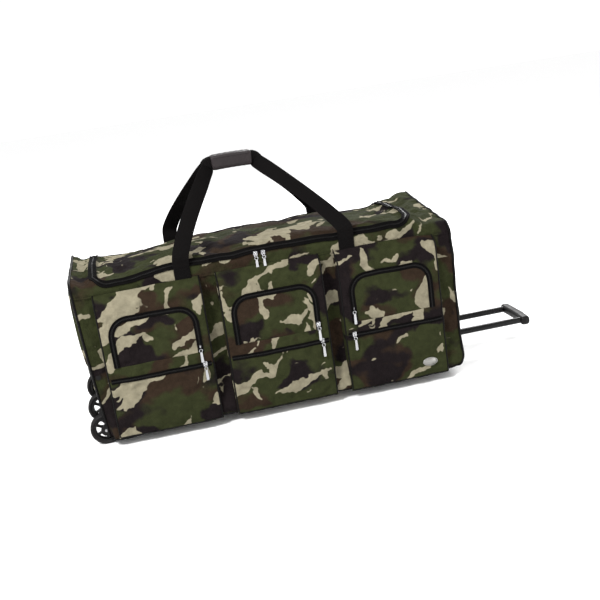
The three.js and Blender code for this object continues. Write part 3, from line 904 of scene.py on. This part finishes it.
# ------------------------------------------------------------------ front pockets
EDGE_RADIUS = 9.0
ARCH_HALF = 106.5
ARCH_TOP = 336.5
ARCH_LOW = 215.0
ARCH_CORNER = 43.0
SLASH_Z = 180.0
POCKET_HEM = 14.0
POCKET_PIPING = 1.9
TOP_SLOPE = 26.0
BADGE_X = 395.0
BADGE_Z = 66.0


def pocket_profile(low, high, inner, slope=0.0):
    """Stations across a pocket: (place, depth) up one side, over the face and down the other."""
    bend = np.linspace(0, math.pi / 2, 5)
    r = EDGE_RADIUS
    side = [(low, d) for d in np.linspace(-3, POCKET_DEPTH - r, 6)]
    arc = [(low + r - r * math.cos(t), POCKET_DEPTH - r + r * math.sin(t)) for t in bend[1:]]
    face = [(v, POCKET_DEPTH) for v in knots(low + r, *inner, (2, high - r))[1:-1]]
    far = [(high - (v - low), d) for v, d in (side + arc)[::-1]]
    if slope:
        far = [(v + slope * (1 - d / POCKET_DEPTH), d) for v, d in far]
    return np.array(side + arc + face + far)


def arch_path(centre, steps=8):
    """The arched zip's line from its left foot to its right foot, in (x, z)."""
    half, r = ARCH_HALF, ARCH_CORNER
    turn = np.linspace(0, math.pi / 2, steps + 1)
    path = [(centre - half, z) for z in np.linspace(ARCH_LOW, ARCH_TOP - r, 8)[:-1]]
    path += [(centre - half + r - r * math.cos(t), ARCH_TOP - r + r * math.sin(t)) for t in turn]
    path += [(x, ARCH_TOP) for x in np.linspace(centre - half + r, centre + half - r, 14)[1:-1]]
    path += [(centre + half - r + r * math.sin(t), ARCH_TOP - r + r * math.cos(t)) for t in turn]
    path += [(centre + half, z) for z in np.linspace(ARCH_TOP - r, ARCH_LOW, 8)[1:]]
    return np.array(path)


def pocket_puff(x, z, low, high):
    """How far a pocket's face swells, given its corners."""
    u = np.clip((x - low[0]) / (high[0] - low[0]), 0, 1)
    v = np.clip((z - low[2]) / (high[2] - low[2]), 0, 1)
    return 7.5 * (4 * u * (1 - u)) ** 0.6 * (4 * v * (1 - v)) ** 0.6


def pocket_surface(points, low, high):
    """Points laid out on a pocket's flat face, moved to the puffed, softened one."""
    flat = np.array(points, float).reshape(-1, 3)
    depth = np.clip((-SIDE - flat[:, 1]) / POCKET_DEPTH, 0, 1)
    placed = soften(flat)
    swell = pocket_puff(flat[:, 0], flat[:, 2], low, high)
    folds = 1.4 * ripple(flat, 120, 7) + 0.8 * ripple(flat, 50, 8)
    placed[:, 1] -= depth * (swell - 3 + folds)
    return placed


def follow_flap(piece):
    """Bakes the piece's placement into its mesh."""
    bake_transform(piece)


def make_pocket(name):
    low, high = local(f"pocket_{name}")
    low[1] = FACE
    centre = (low[0] + high[0]) / 2
    inner_x = ((4, centre - ARCH_HALF), (33, centre + ARCH_HALF), (4, high[0] - EDGE_RADIUS - 8))
    inner_z = ((24, SLASH_Z), (6, ARCH_LOW), (19, ARCH_TOP), (4, high[2] - EDGE_RADIUS - 8))
    across = pocket_profile(low[0], high[0], inner_x)
    upward = pocket_profile(low[2], high[2], inner_z, slope=TOP_SLOPE)
    verts, on_face = [], []
    for z, dz in upward:
        for x, dx in across:
            proud = max(dx, 0) * max(dz, 0) / POCKET_DEPTH
            tucked = 3 if dx < 0 or dz < 0 else 0
            verts.append((x, -SIDE - proud + tucked, z))
            on_face.append(dx == POCKET_DEPTH and dz == POCKET_DEPTH)
    verts, on_face = np.array(verts), np.array(on_face)
    half, r = ARCH_HALF, ARCH_CORNER

    def reach(x, z):
        """Distance out from the arch: negative inside it."""
        u, w = np.maximum(abs(x - centre) - (half - r), 0), np.maximum(z - (ARCH_TOP - r), 0)
        straight = np.maximum(abs(x - centre) - half, z - ARCH_TOP)
        return np.where((u > 0) & (w > 0), np.hypot(u, w) - r, straight)

    out = reach(verts[:, 0], verts[:, 2])
    u = abs(verts[:, 0] - centre) - (half - r)
    w = verts[:, 2] - (ARCH_TOP - r)
    near = on_face & (u > 0) & (w > 0) & (abs(out) < 3.4)
    factor = r / np.hypot(u, w)[near]
    verts[near, 0] = centre + np.sign(verts[near, 0] - centre) * (half - r + u[near] * factor)
    verts[near, 2] = ARCH_TOP - r + w[near] * factor
    shell_faces, flap_faces = [], []
    side = len(across)
    wall_x, wall_z = (set(range(6)) | set(range(n - 6, n)) for n in (side, len(upward)))
    for face in quads(len(upward), side):
        if all(k % side in wall_x and k // side in wall_z for k in face):
            continue
        cx, _, cz = verts[list(face)].mean(0)
        inside = all(on_face[list(face)]) and cz > ARCH_LOW and float(reach(cx, cz)) < 0
        (flap_faces if inside else shell_faces).append(face)
    placed = pocket_surface(verts, low, high)
    x, z = verts[:, 0], verts[:, 2]
    held = ~on_face | (x < low[0] + POCKET_HEM) | (x > high[0] - POCKET_HEM)
    held |= (z < low[2] + POCKET_HEM) | (z > high[2] - POCKET_HEM)
    held |= ((abs(reach(x, z)) < 10) & (z > ARCH_LOW - 2)) | (abs(z - SLASH_Z) < 9)
    held |= abs(z - ARCH_LOW) < 3
    held |= (abs(x - BADGE_X) < 28) & (abs(z - BADGE_Z) < 20)
    heights = {tuple(face): verts[list(face)].mean(0)[2] for face in shell_faces}
    shell_faces.sort(key=lambda face: heights[tuple(face)] < SLASH_Z)
    first_below = sum(height >= SLASH_Z for height in heights.values())
    shell = add_mesh(
        f"pocket_fabric_{name}", *tidy(placed, shell_faces), upper_cut, "root",
        replaces=f"pocket_{name}",
    )
    shell.data.materials.append(lower_cut)
    settle(shell, held[sorted({i for face in shell_faces for i in face})], 6, pressure=1.2)
    for k, polygon in enumerate(shell.data.polygons):
        polygon.material_index = int(k >= first_below)
    modify(shell, "WELD", merge_threshold=0.00005)
    modify(shell, "SUBSURF", levels=1, render_levels=1)
    shell.data.materials.append(lining)
    modify(shell, "SOLIDIFY", thickness=0.0016, offset=-1, material_offset=2)
    flap = add_mesh(
        f"flap_fabric_{name}", *tidy(placed, flap_faces), flap_cut, replaces=f"pocket_flap_{name}"
    )
    settle(flap, held[sorted({i for face in flap_faces for i in face})], 6, pressure=1.2)
    modify(flap, "SUBSURF", levels=1, render_levels=1)
    line_inside(flap)
    follow_flap(flap)
    inset = EDGE_RADIUS * (1 - math.sqrt(0.5)) - 0.5
    for side_name, x in (("left", low[0] + inset), ("right", high[0] - inset)):
        edge = [(x, FACE + inset, z) for z in np.linspace(low[2] + 4, high[2] - 5, 54)]
        for depth in np.linspace(POCKET_DEPTH - 4, -3, 10):
            edge.append((x, -SIDE - depth, high[2] - 0.5 + TOP_SLOPE * (1 - depth / POCKET_DEPTH)))
        path = resample(pocket_surface(edge, low, high), 5.0)
        bead(f"piping_pocket_{name}_{side_name}", path, X_AXIS, POCKET_PIPING, sides=8)
    edge = [(x, FACE + inset, low[2] + inset) for x in np.linspace(low[0] + 3, high[0] - 3, 46)]
    path = pocket_surface(edge, low, high)
    bead(f"piping_pocket_{name}_low", path, Z_AXIS, POCKET_PIPING, sides=8)
    return low, high, centre


# ------------------------------------------------------------------ zips
def teeth(path, across, normal, side, pitch=2.6):
    """Zip teeth along one side of a zip: small blocks that reach over the middle line."""
    path, across, normal = resample(path, pitch, across, normal)
    along = tangents(path)
    block = np.array(
        [(u, v, w) for u in (-0.5, 2.3) for v in (-0.55, 0.55) for w in (-0.4, 1.5)], float
    )
    faces = [(0, 1, 3, 2), (4, 6, 7, 5), (0, 4, 5, 1), (2, 3, 7, 6), (0, 2, 6, 4), (1, 5, 7, 3)]
    parts = []
    for k in range(len(path)):
        shift = 0.5 * pitch * (side > 0)
        basis = np.stack([across[k] * side, along[k], normal[k]])
        parts.append((path[k] + along[k] * shift + block @ basis, faces))
    return joined(parts)


def make_zip(name, path, across, outward, bodies, width, welt=1.4):
    """Two half tapes with rolled outer edges, and their teeth. bodies are those of the across
    side and of the other side; outward points away from the fabric."""
    across = unit(np.broadcast_to(across, path.shape))
    normal = unit(np.cross(tangents(path), across))
    facing = 1.0 if (normal * outward).sum() > 0 else -1.0
    half = width / 2
    edge = [(0.4, -0.4), (half - 0.6, -0.4), (half, 0.2), (half, welt)]
    edge += [(half - 0.8, welt + 0.7), (half - 1.9, welt + 0.7), (half - 2.9, welt * 0.7)]
    edge += [(half - 4.2, 0.7), (0.4, 0.7)]
    for side, body in zip((1, -1), bodies):
        outline = np.array([(side * u, facing * (v + 0.6)) for u, v in edge])
        if side * facing < 0:
            outline = outline[::-1]
        verts, faces, uv = sweep(path, across, outline)
        letter = "a" if side > 0 else "b"
        carrier = body if body == "root" else None
        strip = add_mesh(f"{name}_tape_{letter}", verts, faces, tape, carrier, uv=uv, sharp=50)
        verts, faces = teeth(path + normal * facing, across, normal * facing, side)
        row = add_mesh(f"{name}_teeth_{letter}", verts, faces, teeth_plastic, carrier, smooth=False)
        for piece in (strip, row):
            if body == "lid":
                follow_lid(piece)
            elif body != "root":
                follow_flap(piece)


def make_main_zip():
    """A U in plan: up the wheel end's side from the hinge line, along the front, and back."""
    legs = np.linspace(HINGE_Y - 6, ZIP_Y + ZIP_CORNER, 44)
    turn = np.linspace(0, math.pi / 2, 9)[1:]
    c, r = ZIP_CORNER, ZIP_CORNER
    plan = [(LID_LEFT, y) for y in legs]
    plan += [(LID_LEFT + c - r * math.cos(t), ZIP_Y + c - r * math.sin(t)) for t in turn]
    plan += [(x, ZIP_Y) for x in np.linspace(LID_LEFT + c, LID_RIGHT - c, 100)[1:]]
    plan += [(LID_RIGHT - c + r * math.sin(t), ZIP_Y + c - r * math.cos(t)) for t in turn]
    plan += [(LID_RIGHT, y) for y in legs[::-1][1:]]
    plan = np.array(plan)
    flat, normal = top_point(plan[:, 0], plan[:, 1])
    step = 2.0
    outward = unit(np.cross(tangents(flat), normal))
    path = soften(flat)
    side = unit(soften(flat + outward * step) - path)
    path, side, normal = resample(path, 6.0, side, normal)
    make_zip("main_zip", path, side, normal, ("root", "lid"), 22)


def make_pocket_zips(name, low, high, centre):
    arch = arch_path(centre)
    flat = np.column_stack([arch[:, 0], np.full(len(arch), FACE), arch[:, 1]])
    path = resample(pocket_surface(flat, low, high), 5.0)
    outward = np.cross(tangents(path), Y_AXIS)
    front = np.array([(0, -1.0, 0)])
    make_zip(f"arch_zip_{name}", path, outward, front, ("root", f"flap_{name}"), 15)
    flat = [(x, FACE, SLASH_Z) for x in np.linspace(centre - 128, centre + 128, 50)]
    path = resample(pocket_surface(flat, low, high), 5.0)
    make_zip(f"slash_zip_{name}", path, Z_AXIS, front, ("root", "root"), 13)


def make_slider(body_name):
    """A zip slider: a shield-shaped body with a bridge, on the CAD slider's body."""
    low, high = local(body_name)
    x, z = (low[0] + high[0]) / 2, (low[2] + high[2]) / 2
    back = high[1] + 0.3
    tall, wide = high[2] - low[2], high[0] - low[0]
    shield = []
    for turn in np.arange(24) * 2 * math.pi / 24:
        u, v = math.cos(turn), math.sin(turn)
        half_width = wide / 2 * (1 + 0.18 * v)
        shield.append((half_width * np.sign(u) * abs(u) ** 0.75, tall / 2 * np.sign(v) * abs(v) ** 0.8))
    shield = np.array(shield)
    rings = []
    for drop, size in ((0, 0.92), (0.6, 1.0), (2.3, 1.0), (3.0, 0.86)):
        u, v = (shield * size).T
        rings.append(np.column_stack([x + u, np.full(24, back - drop), z + v]))
    faces = quads(len(rings), 24, close_columns=True)
    faces += [tuple(range(24))[::-1], tuple(range(72, 96))]
    turn = np.linspace(0, math.pi, 11)
    bridge_y = back - 2.4 - 3.4 * np.sin(turn)
    bridge = np.column_stack([np.full(11, x), bridge_y, z - 0.30 * tall * np.cos(turn) + 1.0])
    parts = [(np.concatenate(rings), faces), sweep(bridge, X_AXIS, rounded(3.2, 1.5, 0.6, 2))[:2]]
    add_mesh(
        f"{body_name}_metal", *joined(parts), chrome, body_name, sharp=35, replaces=body_name
    )


def make_pull(body_name):
    """A pull: a round eye on the slider's bridge and a long tab with a raised rim."""
    low, high = local(body_name)
    x, y = (low[0] + high[0]) / 2, (low[1] + high[1]) / 2
    thick = (high[1] - low[1]) / 2
    top, foot = high[2], low[2]
    eye = (high[0] - low[0]) / 2 - thick
    turn = np.arange(24) * 2 * math.pi / 24
    ring_z = top - thick - eye + eye * 1.05 * np.cos(turn)
    ring = np.column_stack([x + eye * np.sin(turn), np.full(24, y), ring_z])
    parts = [sweep(ring, Y_AXIS, circle(thick, 8), closed=True)[:2]]
    tab_top = top - 2 * eye - thick * 1.2
    tall, wide = tab_top - foot - thick, eye * 1.5
    u, v = rounded(wide, tall, wide * 0.42, 5).T
    taper = 1 - 0.3 * (v / tall + 0.5)
    count = len(u)
    rim = np.column_stack([x + u * taper, np.full(count, y), (tab_top + foot + thick) / 2 + v])
    parts.append(sweep(rim, Y_AXIS, circle(thick * 0.9, 8), closed=True)[:2])
    faces = [tuple(range(count)), tuple(range(count, 2 * count))[::-1]]
    faces += [(k, k + count, (k + 1) % count + count, (k + 1) % count) for k in range(count)]
    sides = [rim + (0, lift, 0) for lift in (thick * 0.45, -thick * 0.45)]
    parts.append((np.concatenate(sides), faces))
    add_mesh(
        f"{body_name}_metal", *joined(parts), chrome, body_name, sharp=40, replaces=body_name
    )


# ------------------------------------------------------------------ carry straps
def strap_path(sign):
    """Path, width direction and size factors of a whole strap, from its left tab to its right.
    The flat of the webbing faces out all the way, so its width turns from level to upright."""
    wrap_low, wrap_high = local("hand_wrap_front" if sign < 0 else "hand_wrap_rear")
    mid = (wrap_low + wrap_high) / 2
    out = (SIDE + 2.6) * sign
    rows = []
    for end in (-1, 1):
        wrap_x = wrap_low[0] if end < 0 else wrap_high[0]
        base = STRAP_BASE_X * end
        knee = np.array([base * 0.985, 196 * sign, 466])
        neck = np.array([wrap_x + 16 * end, mid[1] + 10 * sign, mid[2] - 17])
        leg = [
            ((base, out, SEAM_Z - 4), 0, 0, 1),
            ((base, out, SEAM_Z + 14), 0, 0, 1),
            ((base, out + 2.2 * sign, 440), 0, 0, 1),
            (knee, 12, 0, 1),
        ]
        for t in (0.2, 0.4, 0.6, 0.8):
            twist = (26 if (end > 0) == (sign < 0) else 8) * math.sin(math.pi * t)
            bow = np.array([7 * end, 11 * sign, 3]) * math.sin(math.pi * t**0.8)
            leg.append((knee + (neck - knee) * t + bow, 22 + 16 * t, twist, 1 - 0.03 * t))
        leg.append((neck, 55, 0, 0.93))
        leg.append((np.array([wrap_x - 4 * end, mid[1], mid[2]]), 90, 0, 0.8))
        rows += leg if end < 0 else [(p, 180 - turn, twist, s) for p, turn, twist, s in leg[::-1]]
    path = np.array([r[0] for r in rows], float)
    turn = np.radians([r[1] for r in rows])
    twist = np.radians([r[2] for r in rows])
    across = np.column_stack([np.cos(turn), np.sin(twist) * sign, -np.sin(turn)])
    thick = np.array([1 if r[3] == 1 else 1 + (1 - r[3]) * 9 for r in rows])
    return path, across, np.column_stack([[r[3] for r in rows], thick])


def smooth_curve(values, per_span):
    """Catmull-Rom through the rows."""
    v = np.vstack([2 * values[0] - values[1], values, 2 * values[-1] - values[-2]])
    out = []
    for i in range(1, len(v) - 2):
        for t in np.arange(per_span) / per_span:
            a, b, c, d = v[i - 1], v[i], v[i + 1], v[i + 2]
            out.append(
                0.5 * (2 * b + (c - a) * t + (2 * a - 5 * b + 4 * c - d) * t**2
                       + (3 * b - a - 3 * c + d) * t**3)
            )
    out.append(v[-2])
    return np.array(out)


def make_strap(side, sign):
    path, across, size = (smooth_curve(v, 6) for v in strap_path(sign))
    web = rounded(STRAP_WIDTH, 2.6, 1.1, 3)
    verts, faces, uv = sweep(path, across, web, scale=size)
    name = f"strap_webbing_{side}"
    strap = add_mesh(name, verts, faces, webbing, uv=uv, replaces=f"carry_strap_{side}")
    end = (ORIGIN + np.array([0, 196 * sign, 462])) * MM
    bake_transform(strap)
    for end, letter in ((-1, "a"), (1, "b")):
        x, half, low, high = STRAP_BASE_X * end, STRAP_WIDTH / 2 - 3, SEAM_Z, SEAM_Z + 30
        corners = [(x - half, low), (x + half, low), (x + half, high), (x - half, high)]
        box = [corners[k] for k in (0, 1, 2, 3, 0, 2)] + [corners[3], corners[1]]
        rows = []
        for a, b in zip(box[:-1], box[1:]):
            line = np.linspace(a, b, 8)
            flat = np.column_stack([line[:, 0], np.full(8, (SIDE + 2.6) * sign), line[:, 1]])
            flat[:, 1] += sign * (1.5 + 2.2 * smooth_step((flat[:, 2] - SEAM_Z - 14) / 22))
            rows.append(stitch_line(flat, Y_AXIS))
        add_mesh(f"tab_stitches_{side}_{letter}", *joined(rows), piping_vinyl, "root")


def make_wrap(side, sign):
    """Half of the leather sleeve: a padded bar with a stitched lip along its outer face."""
    low, high = local(f"hand_wrap_{side}")
    mid = (low + high) / 2
    size = high - low
    section_points = rounded(size[1], size[2], 8.5, 6)
    x = np.linspace(low[0], high[0], 40)
    t = np.linspace(-1, 1, 40)
    path = np.column_stack([x, np.full(40, mid[1]), mid[2] + 1.5 * (1 - t**2) - 1.0])
    pinch = 1 - 0.16 * np.exp(-((1 - abs(t)) / 0.05)) + 0.012 * np.sin(t * 23)
    body = f"carry_handle_{side}"
    verts, faces, _ = sweep(path, Y_AXIS, section_points, scale=np.column_stack([pinch, pinch]))
    name = f"wrap_leather_{side}"
    wrap = add_mesh(name, verts, faces, leather, body, replaces=f"hand_wrap_{side}")
    modify(wrap, "SUBSURF", levels=1, render_levels=1)
    stitches = []
    y = low[1] + 0.25 if sign < 0 else high[1] - 0.25
    for z in (mid[2] + 11.5, mid[2] - 11.5):
        for k in range(24):
            a = low[0] + 6 + k * (size[0] - 12) / 24
            run = np.array([(a, y, z), (a + 2.8, y, z)])
            stitches.append(sweep(run, Z_AXIS, circle(0.45, 6))[:2])
    add_mesh(f"wrap_stitching_{side}", *joined(stitches), tape, body)


# ------------------------------------------------------------------ wheels
TYRE_DEPTH = 9.5


def make_wheel(corner):
    """A grooved tyre, a rim with six flared spokes and a boss round the axle."""
    low, high = local(f"tyre_{corner}")
    centre = (low + high) / 2
    radius = (high[0] - low[0]) / 2
    half = (high[1] - low[1]) / 2
    rim = radius - TYRE_DEPTH
    shoulder = [(rim, 3), (rim + 2, 1.2), (radius - 4.5, 0), (radius - 1.4, 1.5), (radius, 4.5)]
    groove = [(0, -1.3), (1.3, -0.8), (1.3, 0.8), (0, 1.3)]
    tread = [(r, inset - half) for r, inset in shoulder]
    for y in np.linspace(7 - half, half - 7, 3):
        tread += [(radius - depth, y + along) for depth, along in groove]
    tread += [(r, half - inset) for r, inset in shoulder[::-1]]
    add_mesh(
        f"tyre_tread_{corner}", *lathe(tread, centre, 72), rubber, f"wheel_{corner}", sharp=40,
        replaces=f"tyre_{corner}",
    )
    edge = rim - 0.2
    deep = half - 3
    outer = [(edge, -deep), (edge, deep), (edge - 4, deep)]
    outer += [(edge - 5.5, deep - 2), (edge - 5.5, 2 - deep), (edge - 4, -deep)]
    boss = [(4.1, -deep - 1), (9, -deep - 1), (10.5, 1 - deep)]
    boss += [(10.5, deep - 1), (9, deep + 1), (4.1, deep + 1)]
    parts = [lathe(outer[::-1], centre, 60), lathe(boss, centre, 32)]
    spoke = rounded(2 * deep - 5, 5.0, 1.5, 3)
    flare = np.column_stack([np.full(6, 1.0), 1 + 0.7 * np.linspace(-1, 1, 6) ** 2])
    for k in range(6):
        turn = math.radians(30 + 60 * k)
        out = np.array([math.cos(turn), 0, math.sin(turn)])
        run = centre + np.outer(np.linspace(9, edge - 4.6, 6), out)
        parts.append(sweep(run, Y_AXIS, spoke, scale=flare)[:2])
    add_mesh(
        f"hub_spokes_{corner}", *joined(parts), plastic, f"wheel_{corner}", sharp=40,
        replaces=f"hub_{corner}",
    )


# ------------------------------------------------------------------ pull handle
def make_handle():
    """Two painted tubes, a bowed grip across their ends and its release button."""
    for side, _ in SIDES:
        low, high = local(f"inner_tube_{side}")
        y, z = (low[1] + high[1]) / 2, (low[2] + high[2]) / 2
        path = np.array([(x, y, z) for x in np.linspace(low[0], high[0], 3)])
        verts, faces, _ = sweep(path, Y_AXIS, circle((high[1] - low[1]) / 2, 40))
        add_mesh(
            f"handle_tube_{side}", verts, faces, tube_paint, "pull_handle", sharp=40,
            replaces=f"inner_tube_{side}",
        )
    low, high = local("handle_grip")
    mid = (low + high) / 2
    half = (high[1] - low[1]) / 2
    t = np.linspace(-1, 1, 41)
    path = np.column_stack([mid[0] + 3.0 * (1 - t**2) - 1.5, t * (half - 1), np.full(41, mid[2])])
    shut = np.sqrt(np.clip(1 - ((abs(t) - 0.9) / 0.1).clip(0, 1) ** 2 * 0.55, 0, 1))
    ridge = 1 + 0.02 * np.cos(t * 60) * (abs(t) < 0.6)
    shape = rounded(high[0] - low[0] - 4, high[2] - low[2], 10, 7)
    verts, faces, _ = sweep(path, X_AXIS, shape, scale=np.column_stack([shut * ridge, shut]))
    add_mesh(
        "handle_grip_moulding", verts, faces, plastic, "pull_handle", replaces="handle_grip"
    )
    low, high = local("release_button")
    path = np.array([(high[0] - back, 0, mid[2]) for back in (5, 1.2, 0.3, 0)])
    size = np.array([(1, 1), (1, 1), (0.96, 0.92), (0.86, 0.75)])
    verts, faces, _ = sweep(path, Y_AXIS, rounded(36, 10, 4, 5), scale=size)
    button = add_mesh(
        "release_button_cap", verts, faces, piping_vinyl, "handle_release", sharp=50,
        replaces="release_button",
    )


def make_badge(low, high):
    """A plain oval plate with a raised rim, low on the right pocket."""
    x, y, z = pocket_surface([[BADGE_X, FACE, BADGE_Z]], low, high)[0]
    across, up, count = 20.5, 12.0, 40
    turn = np.arange(count) * 2 * math.pi / count
    u, v = across * np.cos(turn), up * np.sin(turn)
    rim = ((1.0, 0.2), (1.0, 1.8), (0.95, 2.8), (0.88, 2.8))
    plate = ((0.84, 1.2), (0.78, 1.2), (0.72, 2.2), (0.02, 2.8))
    rows = [
        np.column_stack([x + u * s, np.full(count, y - lift), z + v * s])
        for s, lift in rim + plate
    ]
    faces = quads(len(rows), count, close_columns=True)
    last = (len(rows) - 1) * count
    faces += [tuple(range(count))[::-1], tuple(range(last, last + count))]
    add_mesh("badge_oval", np.concatenate(rows), faces, nickel, "root", sharp=50)


def finish_cad_nodes():
    """Materials and softened edges for the CAD nodes that stay."""
    looks = {
        "base_board": board,
        "handle_bezel": plastic,
        "wheel_housing_front": plastic,
        "wheel_housing_rear": plastic,
        "skid_rail_front": plastic,
        "skid_rail_rear": plastic,
    }
    for name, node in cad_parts.items():
        if node.hide_render:
            continue
        material = looks.get(name, steel)
        node.data.materials.clear()
        node.data.materials.append(material)
        if material is plastic:
            modify(node, "WELD", merge_threshold=0.00001)
            modify(node, "BEVEL", width=0.0012, segments=2, limit_method="ANGLE", angle_limit=0.6)
            node.data.shade_smooth()
            node.data.set_sharp_from_angle(angle=math.radians(35))


make_camera()
make_stage()
make_body()
make_end("end_panel_wheel", WHEEL_END, 12)
make_end("end_panel_handle", HANDLE_END, 9)
make_piping()
make_seams()
for pocket_name in POCKETS:
    low_corner, high_corner, centre_x = make_pocket(pocket_name)
    make_pocket_zips(pocket_name, low_corner, high_corner, centre_x)
    if pocket_name == "right":
        make_badge(low_corner, high_corner)
make_main_zip()
zip_names = ["main_zip_left", "main_zip_right"]
zip_names += [f"{kind}_zip_{pocket}" for kind in ("arch", "slash") for pocket in POCKETS]
for zip_name in zip_names:
    make_slider(f"{zip_name}_slider")
    make_pull(f"{zip_name}_pull")
for strap_side, strap_sign in SIDES:
    make_strap(strap_side, strap_sign)
    make_wrap(strap_side, strap_sign)
    for seat in ("low", "mid", "high"):
        make_wheel(f"{strap_side}_{seat}")
make_handle()
finish_cad_nodes()
